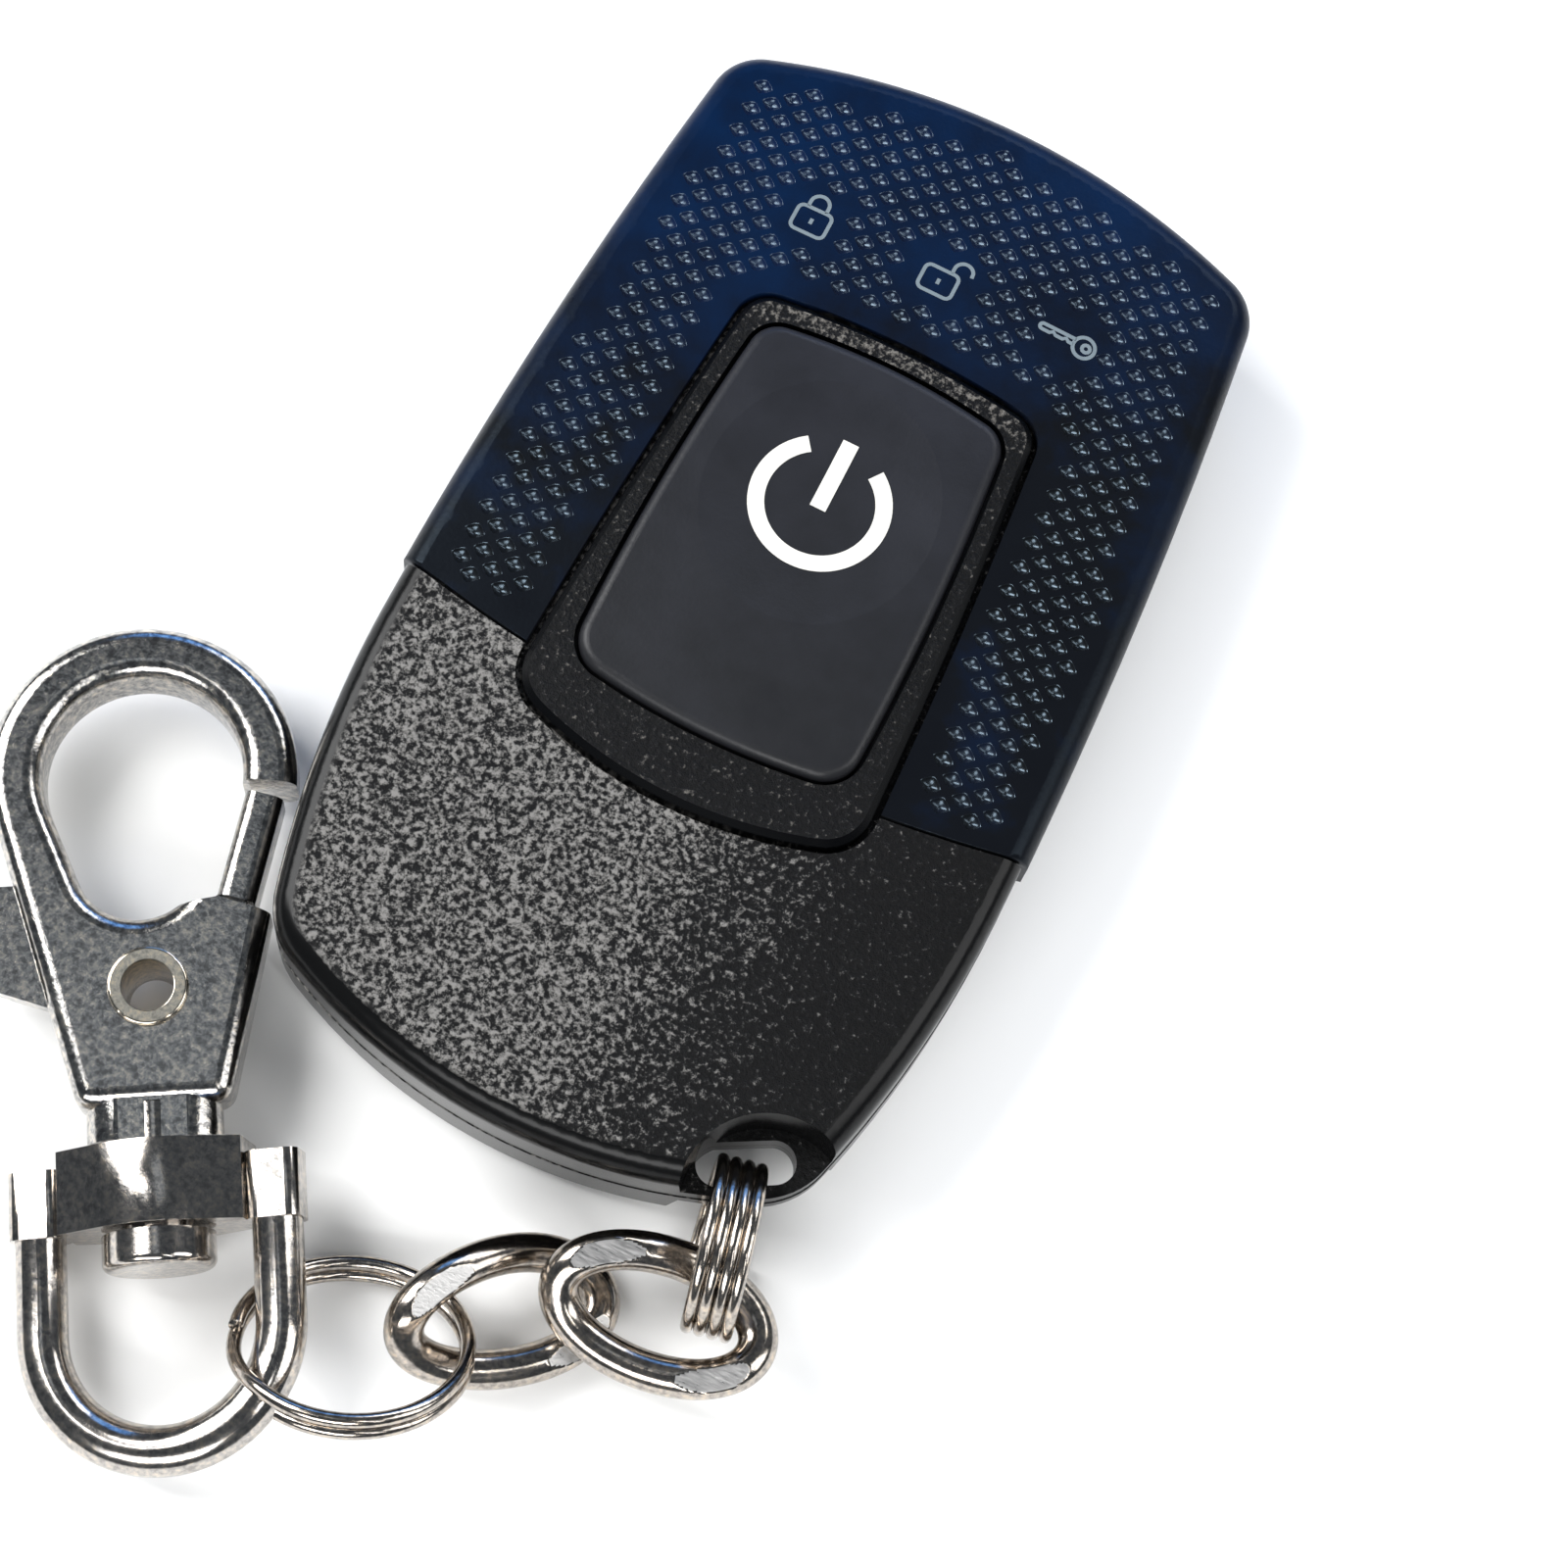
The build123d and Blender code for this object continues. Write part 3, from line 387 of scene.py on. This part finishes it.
def button_top(x, y):
    """Height of the button's dished face."""
    dish = DISH_Z + DISH_R - sqrt(DISH_R ** 2 - x ** 2 - (y - DISH_Y) ** 2)
    return min(crown(x, y, BUTTON_Z), dish)


def inside_case(x, y, inset):
    """Whether a point lies that far inside the fob's outline."""
    middle = CASE_SIDE_R - CASE_WIDTH / 2
    arcs = ((0.0, CASE_TOP_Y - CASE_TOP_R, CASE_TOP_R), (-middle, CASE_WIDEST_Y, CASE_SIDE_R),
            (middle, CASE_WIDEST_Y, CASE_SIDE_R))
    for cx, cy, r in arcs:
        if hypot(x - cx, y - cy) > r - inset:
            return False
    corner_x, corner_y = CASE_CORNER
    if abs(x) > corner_x and y > corner_y:
        return hypot(abs(x) - corner_x, y - corner_y) < CASE_CORNER_R - inset
    return True


def outside_bezel(x, y, away):
    """Whether a point lies that far outside the gap around the bezel."""
    slope = (GAP_LOW_X - GAP_HIGH_X) / (GAP_HIGH_Y - GAP_LOW_Y)
    side = GAP_HIGH_X + (GAP_HIGH_Y - y) * slope
    top = GAP_TOP_Y - GAP_TOP_R + sqrt(GAP_TOP_R ** 2 - x ** 2)
    bottom = GAP_BOTTOM_Y + GAP_BOTTOM_R - sqrt(GAP_BOTTOM_R ** 2 - x ** 2)
    return abs(x) > side + away or y > top + away or y < bottom - away


# Meshes


def new_object(name, mesh, material, body):
    mesh.materials.append(material)
    obj = bpy.data.objects.new(name, mesh)
    scene.collection.objects.link(obj)
    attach(obj, body)
    return obj


def smooth(mesh, angle=35.0):
    mesh.polygons.foreach_set("use_smooth", [True] * len(mesh.polygons))
    mesh.set_sharp_from_angle(angle=radians(angle))
    return mesh


def mesh_of(name, points, faces):
    mesh = bpy.data.meshes.new(name)
    mesh.from_pydata([Vector(p) * MM for p in points], [], faces)
    mesh.validate()
    tidy = bmesh.new()
    tidy.from_mesh(mesh)
    bmesh.ops.recalc_face_normals(tidy, faces=tidy.faces)
    tidy.to_mesh(mesh)
    tidy.free()
    return mesh


def tube(name, line, radius, sides=20, closed=False, trim=None):
    """Round wire along a line; trim(point) may move the surface points, as grinding does."""
    count = len(line)
    tangents = []
    flat_limit = 0.9
    for n in range(count):
        before = line[(n - 1) % count] if closed or n else line[0]
        after = line[(n + 1) % count] if closed or n < count - 1 else line[-1]
        tangents.append((after - before).normalized())
    up = Vector((0, 0, 1)) if closed or abs(tangents[0].z) < flat_limit else Vector((1, 0, 0))
    frames = []
    for t in tangents:
        side = up.cross(t).normalized()
        lift = t.cross(side).normalized()
        frames.append((side, lift))
        if not closed:
            up = lift
    points, faces = [], []
    for n, (place, (side, lift)) in enumerate(zip(line, frames)):
        for k in range(sides):
            angle = 2 * pi * k / sides
            p = place + side * (radius * cos(angle)) + lift * (radius * sin(angle))
            points.append(trim(p) if trim else p)
    rings = count if closed else count - 1
    for n in range(rings):
        m = (n + 1) % count
        for k in range(sides):
            j = (k + 1) % sides
            faces.append((n * sides + k, n * sides + j, m * sides + j, m * sides + k))
    if not closed:
        for n, way in ((0, -1), (count - 1, 1)):
            middle = len(points)
            points.append(line[n] + tangents[n] * (way * radius * 0.25))
            for k in range(sides):
                faces.append((n * sides + k, n * sides + (k + 1) % sides, middle))
    return mesh_of(name, points, faces)


PRINT_DEPTH = 0.05


def ribbon(lines, width, height_at, lift):
    """Printed strokes: flat bands that follow a surface."""
    points, faces = [], []
    section = ((-0.5, -PRINT_DEPTH), (-0.5, lift), (0.5, lift), (0.5, -PRINT_DEPTH))
    for line, closed in lines:
        count = len(line)
        first = len(points)
        for n, (x, y) in enumerate(line):
            ax, ay = line[(n - 1) % count] if closed or n else line[0]
            bx, by = line[(n + 1) % count] if closed or n < count - 1 else line[-1]
            length = hypot(bx - ax, by - ay)
            nx, ny = -(by - ay) / length, (bx - ax) / length
            for side, z in section:
                px, py = x + nx * width * side, y + ny * width * side
                points.append(Vector((px, py, height_at(px, py) + z)))
        for n in range(count if closed else count - 1):
            m = (n + 1) % count
            for k in range(3):
                here, there = first + 4 * n + k, first + 4 * m + k
                faces.append((here, here + 1, there + 1, there))
        if not closed:
            for n in (0, count - 1):
                faces.append(tuple(first + 4 * n + k for k in range(4)))
    return points, faces


def arc(cx, cy, r, start, end, step=8.0):
    count = max(2, int(abs(end - start) / step) + 1)
    return [(cx + r * cos(radians(start + (end - start) * n / count)),
             cy + r * sin(radians(start + (end - start) * n / count))) for n in range(count + 1)]


def span(a, b, step=0.25):
    count = max(1, int(hypot(b[0] - a[0], b[1] - a[1]) / step))
    return [(a[0] + (b[0] - a[0]) * n / count, a[1] + (b[1] - a[1]) * n / count) for n in range(count + 1)]


# Upper cover with its dimples

CELL = (0.95, 0.8)
COLUMNS = int(CASE_WIDTH / 2 / CELL[0]) + 1
ROWS = (int(GAP_BOTTOM_Y / CELL[1]), int(CASE_TOP_Y / CELL[1]) + 1)
EDGE_LAND = 2.45
SEAM_LAND = 1.3
BEZEL_LAND = 1.35
SIGN_X = (-8.0, 0.0, 8.0)
SIGN_Y = 21.7
SIGN_LAND = (2.2, 1.9)

PIT_SIDES = 16
PIT_TIP_SHARE = 0.88
PIT_ROUND_SHARE = 0.74
PIT_RINGS = ((0.0, 0.72, 0.0), (-0.12, 0.66, 0.1), (-0.24, 0.5, 0.45),
             (-0.35, 0.24, 0.9), (-0.385, 0.11, 1.0), (-0.392, 0.04, 1.0))
PIT_LEVELS = (-0.45, -0.05)
POCKET_DEPTH = 0.5
CUT_OVERRUN = 1.0


def cell_places():
    """Diamond cells that tile the dimpled area, counted in half cells, and whether each has a pit."""
    places = {}
    clear_x, clear_y = SIGN_LAND
    for j in range(*ROWS):
        for i in range(-COLUMNS, COLUMNS + 1):
            x, y = CELL[0] * i, CELL[1] * j
            if (i + j) % 2 or hypot(x, y - SEAM_Y) > SEAM_R - SEAM_LAND:
                continue
            if not inside_case(x, y, EDGE_LAND) or not outside_bezel(x, y, BEZEL_LAND):
                continue
            under_sign = any(abs(x - sx) < clear_x and abs(y - SIGN_Y) < clear_y for sx in SIGN_X)
            places[(i, j)] = not under_sign
    return places


def cell_object(name, pitted):
    """One diamond cell: the land round its edge and a pit that goes from a diamond rim to a round bowl.

    PIT_RINGS gives each ring's depth, its share of the cell and its roundness."""
    tips = [(1.0, 0.0), (0.0, 1.0), (-1.0, 0.0), (0.0, -1.0)]
    points = [Vector((x * CELL[0], y * CELL[1], 0.0)) for x, y in tips]
    faces = [(0, 1, 2, 3)]
    if pitted:
        for z, share, roundness in PIT_RINGS:
            for k in range(PIT_SIDES):
                angle = radians(360.0 / PIT_SIDES * k)
                c, s = cos(angle), sin(angle)
                diamond = min(PIT_TIP_SHARE, 1.0 / (abs(c) + abs(s)))
                r = share * (diamond * (1.0 - roundness) + PIT_ROUND_SHARE * roundness)
                points.append(Vector((r * c * CELL[0], r * s * CELL[1], z)))
        faces = []
        quarter = PIT_SIDES // 4
        for tip in range(4):
            rim = [4 + (quarter * tip + k) % PIT_SIDES for k in range(quarter, -1, -1)]
            faces.append((tip, (tip + 1) % 4, *rim))
        last = len(PIT_RINGS) - 1
        for n in range(last):
            low = 4 + PIT_SIDES * n
            for k in range(PIT_SIDES):
                j = (k + 1) % PIT_SIDES
                faces.append((low + k, low + j, low + PIT_SIDES + j, low + PIT_SIDES + k))
        faces.append(tuple(4 + PIT_SIDES * last + k for k in range(PIT_SIDES)))
    mesh = mesh_of(name, points, faces)
    obj = bpy.data.objects.new(name, mesh)
    scene.collection.objects.link(obj)
    return obj


def field_tree():
    """Sets one cell on each point, joins them and lays them on the crowned face."""
    tree = bpy.data.node_groups.new("dimple_field", "GeometryNodeTree")
    face = tree.interface
    face.new_socket("Points", in_out="INPUT", socket_type="NodeSocketGeometry")
    for name, kind in (("Cell", "NodeSocketObject"), ("Cell Size", "NodeSocketFloat"),
                       ("Face Height", "NodeSocketFloat"), ("Along Radius", "NodeSocketFloat"),
                       ("Across Fall", "NodeSocketFloat"), ("Finish", "NodeSocketMaterial")):
        face.new_socket(name, in_out="INPUT", socket_type=kind)
    face.new_socket("Geometry", in_out="OUTPUT", socket_type="NodeSocketGeometry")
    add, join = tree.nodes.new, tree.links.new
    start, end = add("NodeGroupInput"), add("NodeGroupOutput")

    def math(kind, a, b=None):
        node = add("ShaderNodeMath")
        node.operation = kind
        for socket, value in zip(node.inputs, (a, b)):
            if value is None:
                continue
            if isinstance(value, (int, float)):
                socket.default_value = value
            else:
                join(value, socket)
        return node.outputs[0]

    cell, spread = add("GeometryNodeObjectInfo"), add("GeometryNodeInstanceOnPoints")
    real, weld = add("GeometryNodeRealizeInstances"), add("GeometryNodeMergeByDistance")
    lay, paint = add("GeometryNodeSetPosition"), add("GeometryNodeSetMaterial")
    where, parts = add("GeometryNodeInputPosition"), add("ShaderNodeSeparateXYZ")
    lift = add("ShaderNodeCombineXYZ")
    weld.inputs["Distance"].default_value = 0.004 * MM
    join(start.outputs["Cell"], cell.inputs["Object"])
    join(start.outputs["Points"], spread.inputs["Points"])
    join(cell.outputs["Geometry"], spread.inputs["Instance"])
    join(start.outputs["Cell Size"], spread.inputs["Scale"])
    join(spread.outputs["Instances"], real.inputs["Geometry"])
    join(real.outputs["Geometry"], weld.inputs["Geometry"])
    join(weld.outputs["Geometry"], lay.inputs["Geometry"])
    join(where.outputs["Position"], parts.inputs["Vector"])
    along = start.outputs["Along Radius"]
    across_squared = math("MULTIPLY", parts.outputs["X"], parts.outputs["X"])
    fall = math("MULTIPLY", start.outputs["Across Fall"], across_squared)
    reach = math("SUBTRACT", along, fall)
    reach_squared = math("MULTIPLY", reach, reach)
    square = math("SUBTRACT", reach_squared, math("MULTIPLY", parts.outputs["Y"], parts.outputs["Y"]))
    height = math("ADD", math("SUBTRACT", start.outputs["Face Height"], along), math("SQRT", square))
    join(height, lift.inputs["Z"])
    join(lift.outputs["Vector"], lay.inputs["Offset"])
    join(lay.outputs["Geometry"], paint.inputs["Geometry"])
    join(start.outputs["Finish"], paint.inputs["Material"])
    join(paint.outputs["Geometry"], end.inputs["Geometry"])
    return tree


def grow(name, base, tree, values):
    """Runs a node tree on a mesh and returns its result as a plain mesh."""
    carrier = bpy.data.objects.new(name + "_carrier", base)
    scene.collection.objects.link(carrier)
    modifier = carrier.modifiers.new("grow", "NODES")
    modifier.node_group = tree
    for item in tree.interface.items_tree:
        if item.in_out == "INPUT" and item.name in values:
            modifier[item.identifier] = values[item.name]
    seen = bpy.context.evaluated_depsgraph_get()
    result = bpy.data.meshes.new_from_object(carrier.evaluated_get(seen))
    result.name = name
    bpy.data.objects.remove(carrier)
    return result


def rim_loops(places):
    """Closed outlines round the cells, in order."""
    edges = {}
    for x, y in places:
        tips = [(x + 1, y), (x, y + 1), (x - 1, y), (x, y - 1)]
        for n in range(4):
            edges[(tips[n], tips[(n + 1) % 4])] = True
    free = [edge for edge in edges if (edge[1], edge[0]) not in edges]
    following = {}
    for a, b in free:
        following.setdefault(a, []).append(b)
    loops = []
    while following:
        first = next(iter(following))
        loop, here = [], first
        while here in following:
            loop.append(here)
            choices = following[here]
            ahead = choices.pop(0) if len(loop) < 2 else turn_choice(loop[-2], here, choices)
            if not choices:
                following.pop(here)
            here = ahead
        loops.append(loop)
    return loops


def turn_choice(before, here, choices):
    """Where two cells touch at a corner, goes on round the same cell."""
    way = (here[0] - before[0], here[1] - before[1])
    best = max(choices, key=lambda c: way[0] * (c[1] - here[1]) - way[1] * (c[0] - here[0]))
    choices.remove(best)
    return best


def pocket_cutter(loops):
    """Shallow prisms that take the dimpled area out of the plain cover."""
    points, faces = [], []
    for loop in loops:
        first, count = len(points), len(loop)
        for z in (-POCKET_DEPTH, CUT_OVERRUN):
            for i, j in loop:
                x, y = CELL[0] * i, CELL[1] * j
                points.append(Vector((x, y, crown(x, y) + z)))
        for n in range(count):
            m = (n + 1) % count
            faces.append((first + n, first + m, first + count + m, first + count + n))
        faces.append(tuple(first + n for n in range(count)))
        faces.append(tuple(first + count + n for n in range(count)))
    mesh = mesh_of("pocket_cutter", points, faces)
    tidy = bmesh.new()
    tidy.from_mesh(mesh)
    bmesh.ops.triangulate(tidy, faces=[f for f in tidy.faces if len(f.verts) > 4])
    tidy.to_mesh(mesh)
    tidy.free()
    return mesh


def crown_normals(mesh):
    """Gives the plain lands the exact slope of the crowned face."""
    ways = [Vector(corner.vector) for corner in mesh.corner_normals]
    for polygon in mesh.polygons:
        places = [mesh.vertices[v].co / MM for v in polygon.vertices]
        if all(abs(p.z - crown(p.x, p.y)) < 0.02 for p in places):
            for corner, p in zip(polygon.loop_indices, places):
                ways[corner] = Vector((2 * FACE_FALL * p.x, p.y / FACE_R, 1.0)).normalized()
    mesh.normals_split_custom_set(ways)


def make_cover(look, pit_look):
    """The cover's own mesh, with the dimpled area let in."""
    places = cell_places()
    plain = nodes["upper_cover"].data.copy()
    plain.name = "upper_cover_dimpled"
    tidy = bmesh.new()
    tidy.from_mesh(plain)
    bmesh.ops.remove_doubles(tidy, verts=tidy.verts, dist=0.002 * MM)
    tidy.to_mesh(plain)
    tidy.free()
    cover = bpy.data.objects.new("upper_cover_plain", plain)
    cutter = bpy.data.objects.new("pocket_cutter", pocket_cutter(rim_loops(places)))
    for obj in (cover, cutter):
        scene.collection.objects.link(obj)
    cut = cover.modifiers.new("cut", "BOOLEAN")
    cut.operation, cut.solver, cut.object = "DIFFERENCE", "EXACT", cutter
    seen = bpy.context.evaluated_depsgraph_get()
    mesh = bpy.data.meshes.new_from_object(cover.evaluated_get(seen))
    tree = field_tree()
    values = {"Cell Size": 1.0, "Face Height": FACE_Z * MM, "Along Radius": FACE_R * MM,
              "Across Fall": FACE_FALL / MM, "Finish": look}
    both = bmesh.new()
    both.from_mesh(mesh)
    for pitted in (True, False):
        cell = cell_object("cell_pit" if pitted else "cell_plain", pitted)
        spots = bpy.data.meshes.new("spots")
        chosen = [key for key, has in places.items() if has == pitted]
        spots.from_pydata([Vector((CELL[0] * i, CELL[1] * j, 0)) * MM for i, j in chosen], [], [])
        field = grow("field", spots, tree, {**values, "Cell": cell})
        both.from_mesh(field)
        bpy.data.objects.remove(cell)
    both.to_mesh(mesh)
    both.free()
    for helper in (cover, cutter):
        bpy.data.objects.remove(helper)
    mesh.materials.clear()
    for material in (look, pit_look):
        mesh.materials.append(material)
    deepest, highest = PIT_LEVELS
    for polygon in mesh.polygons:
        x, y, z = polygon.center / MM
        in_field = inside_case(x, y, EDGE_LAND - CELL[1]) and outside_bezel(x, y, BEZEL_LAND - CELL[0])
        polygon.material_index = int(in_field and deepest < z - crown(x, y) < highest)
    smooth(mesh, 46.0)
    crown_normals(mesh)
    mesh.name = "upper_cover_dimpled"
    obj = bpy.data.objects.new("upper_cover_dimpled", mesh)
    scene.collection.objects.link(obj)
    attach(obj, "fob")
    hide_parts("upper_cover")


# Printed signs

SIGN_SCALE = 0.9
SIGN_STROKE = 0.22
SIGN_LIFT = 0.02
MARK_STROKE = 0.95
MARK_LIFT = 0.03


def box_line(x0, y0, x1, y1, r):
    """Outline of a box with rounded corners."""
    line = []
    corners = ((x1 - r, y1 - r), (x0 + r, y1 - r), (x0 + r, y0 + r), (x1 - r, y0 + r))
    for n, (cx, cy) in enumerate(corners):
        line += arc(cx, cy, r, 90 * n, 90 * (n + 1), 22.5)
    closed = []
    for a, b in zip(line, line[1:] + line[:1]):
        if a != b:
            closed += span(a, b)[:-1]
    return closed


def lock_lines(swung):
    body = (box_line(-1.15, -1.25, 1.15, 0.55, 0.38), True)
    hole = (span((0.0, -0.15), (0.0, -0.55)), False)
    if swung:
        shackle = [(0.55, 0.55), (0.55, 0.95)] + arc(1.17, 0.95, 0.62, 180, 20) + [(1.78, 0.85)]
    else:
        shackle = [(-0.62, 0.55), (-0.62, 0.95)] + arc(0, 0.95, 0.62, 180, 0) + [(0.62, 0.55)]
    return [body, hole, (shackle, False)]


def key_lines():
    bow = (arc(1.15, 0.0, 0.72, 0, 352, 12), True)
    eye = (arc(1.3, 0.0, 0.26, 0, 348, 30), True)
    top = span((0.5, 0.3), (-1.75, 0.3))
    nose = arc(-1.75, 0.1, 0.2, 90, 270, 30)
    teeth = [(-1.75, -0.1), (-1.2, -0.1), (-1.0, 0.06), (-0.8, -0.1),
             (-0.3, -0.1), (-0.1, 0.06), (0.1, -0.1), (0.45, -0.1)]
    return [bow, eye, (top + nose[1:-1] + teeth, False)]


def make_signs(look):
    points, faces = [], []
    for sx, lines in zip(SIGN_X, (lock_lines(False), lock_lines(True), key_lines())):
        moved = [([(SIGN_SCALE * x + sx, SIGN_SCALE * y + SIGN_Y) for x, y in line], closed)
                 for line, closed in lines]
        more, sides = ribbon(moved, SIGN_STROKE, crown, SIGN_LIFT)
        faces += [tuple(k + len(points) for k in f) for f in sides]
        points += more
    new_object("printed_signs", mesh_of("printed_signs", points, faces), look, "fob")


def make_power_mark(look):
    ring = (arc(0.0, 5.9, 3.55, 125, 415, 4), False)
    bar = (span((0.0, 5.6), (0.0, 9.9)), False)
    points, faces = ribbon([ring, bar], MARK_STROKE, button_top, MARK_LIFT)
    new_object("power_mark", mesh_of("power_mark", points, faces), look, "button")


# Rings and links

def turned(line, place, *turns):
    """Points turned about axes in order and moved to their place."""
    matrix = Matrix.Identity(3)
    for angle, axis in turns:
        matrix = matrix @ Matrix.Rotation(radians(angle), 3, axis)
    return [matrix @ Vector(p) + Vector(place) for p in line]


def make_coil(look):
    """Four turns of wire, wound close."""
    radius, mean, turns, pitch, steps = 0.35, 4.5, 4, 0.705, 72
    line = []
    for n in range(turns * steps + 1):
        a = 2 * pi * n / steps
        line.append((mean * cos(a), mean * sin(a), pitch * (a / (2 * pi) - turns / 2)))
    line = turned(line, (13.47, -32.35, 5.2), (12.0, "Z"), (90.0, "Y"))
    mesh = smooth(tube("coil_ring_wound", line, radius, 14))
    obj = new_object("coil_ring_wound", mesh, look, "coil_ring")
    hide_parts("coil_jump_ring")


def make_split_ring(look):
    """Nearly two flat turns of wire, with a short step from one to the other."""
    radius, mean, pitch = 0.4, 6.08, 0.78
    step_start, step_length, wound = 300.0, 55.0, 660
    line = []
    for degrees in range(0, wound + 1, 5):
        a = radians(degrees)
        share = min(1.0, max(0.0, (degrees - step_start) / step_length))
        rise = share * share * (3 - 2 * share)
        line.append((mean * cos(a), mean * sin(a), pitch * (rise - 0.5)))
    line = turned(line, (-1.62, -45.67, 5.05), (109.9, "Z"), (40.9, "Y"), (150.0, "Z"))
    mesh = smooth(tube("split_ring_wound", line, radius, 18))
    obj = new_object("split_ring_wound", mesh, look, "split_ring")
    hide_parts("split_ring")


LINKS = {
    "chain_link_1": ("link_1", (11.94, -36.92, 4.5), (10.9, 4.6, 7.8)),
    "chain_link_2": ("link_2", (4.44, -40.3, 2.61), (20.0, 16.1, 39.6)),
}
LINK_HALF = (5.52, 3.02)
LINK_TWIST = 0.64
LINK_WIRE_R = 1.08
GROUND = (-1.25, 1.48)
GROUND_TOLERANCE = 0.001
FLAT_SLOPE = 0.995


def make_link(node, look, flat_look):
    """A twisted oval link whose high corners are ground to flats."""
    body, place, (ax, ay, az) = LINKS[node]
    low, high = GROUND
    stations = 300
    line = []
    for n in range(stations):
        a = 2 * pi * n / stations
        line.append(Vector((LINK_HALF[0] * cos(a), LINK_HALF[1] * sin(a), -LINK_TWIST * sin(2 * a))))

    def grind(p):
        return Vector((p.x, p.y, min(high, max(low, p.z))))

    def on_flat(polygon):
        heights = [mesh.vertices[v].co.z / MM for v in polygon.vertices]
        level = all(z <= low + GROUND_TOLERANCE or z >= high - GROUND_TOLERANCE for z in heights)
        return level and abs(polygon.normal.z) > FLAT_SLOPE

    mesh = tube(node + "_ground", line, LINK_WIRE_R, 64, True, grind)
    flats = [p.index for p in mesh.polygons if on_flat(p)]
    turn = (Matrix.Rotation(radians(az), 3, "Z") @ Matrix.Rotation(radians(ay), 3, "Y")
            @ Matrix.Rotation(radians(ax), 3, "X")).to_4x4()
    mesh.transform(Matrix.Translation(Vector(place) * MM) @ turn)
    smooth(mesh, 24.0)
    obj = new_object(node + "_ground", mesh, look, body)
    mesh.materials.append(flat_look)
    for index in flats:
        mesh.polygons[index].material_index = 1
    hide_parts(node)


# Floor and light

def make_floor():
    mesh = bpy.data.meshes.new("floor")
    half, clearance = 1.5, 0.00002
    corners = [(-half, -half, 0), (half, -half, 0), (half, half, 0), (-half, half, 0)]
    mesh.from_pydata(corners, [], [(0, 1, 2, 3)])
    floor = bpy.data.objects.new("floor", mesh)
    floor.location.z = min(0.0, float(cad_low[2])) - clearance
    scene.collection.objects.link(floor)
    m = Nodes("floor_white", (0.95, 0.95, 0.94), roughness=0.7)
    mesh.materials.append(m.material)


def area_light(name, power, size, place, target=(0, -0.01, 0.0), color=(1.0, 1.0, 1.0)):
    data = bpy.data.lights.new(name, "AREA")
    data.shape = "RECTANGLE"
    data.size, data.size_y = size
    data.energy = power
    data.color = color
    light = bpy.data.objects.new(name, data)
    light.location = place
    way = Vector(target) - Vector(place)
    light.rotation_euler = way.to_track_quat("-Z", "Y").to_euler()
    scene.collection.objects.link(light)


def make_light():
    world = bpy.data.worlds.new("world")
    scene.world = world
    world.use_nodes = True
    back = world.node_tree.nodes["Background"]
    back.inputs["Color"].default_value = (0.78, 0.88, 1.0, 1.0)
    back.inputs["Strength"].default_value = 0.12
    area_light("softbox_left", 5.2, (0.34, 0.44), (-0.5, 0.03, 0.42))
    area_light("softbox_right", 1.6, (0.3, 0.44), (0.5, 0.1, 0.4))
    area_light("softbox_front", 2.9, (0.5, 0.2), (0.05, -0.52, 0.38))
    area_light("softbox_back", 1.3, (0.5, 0.16), (0.1, 0.52, 0.4))
    area_light("panel_above", 0.028, (0.1, 0.18), (-0.1, 0.03, 0.6), (-0.02, -0.035, 0.0), (0.86, 0.93, 1.0))
    area_light("strip_left", 0.3, (0.025, 0.3), (-0.3, -0.1, 0.45))
    area_light("strip_right", 0.25, (0.025, 0.3), (0.27, -0.15, 0.45))
    area_light("strip_blue", 0.5, (0.5, 0.24), (-0.12, 0.48, 0.25), color=(0.12, 0.38, 1.0))
    scene.view_settings.view_transform = "Standard"


make_camera()
looks = dress_cad()
make_cover(looks["cover"], looks["pit"])
make_signs(print_paint("sign_grey", (0.15, 0.19, 0.215)))
make_power_mark(print_paint("mark_white", (0.74, 0.72, 0.66)))
make_coil(looks["dark_chrome"])
make_split_ring(looks["dark_chrome"])
for link in LINKS:
    make_link(link, looks["dark_chrome"], looks["ground"])
for casting, width in CASTINGS.items():
    soften(casting, width)
make_floor()
make_light()
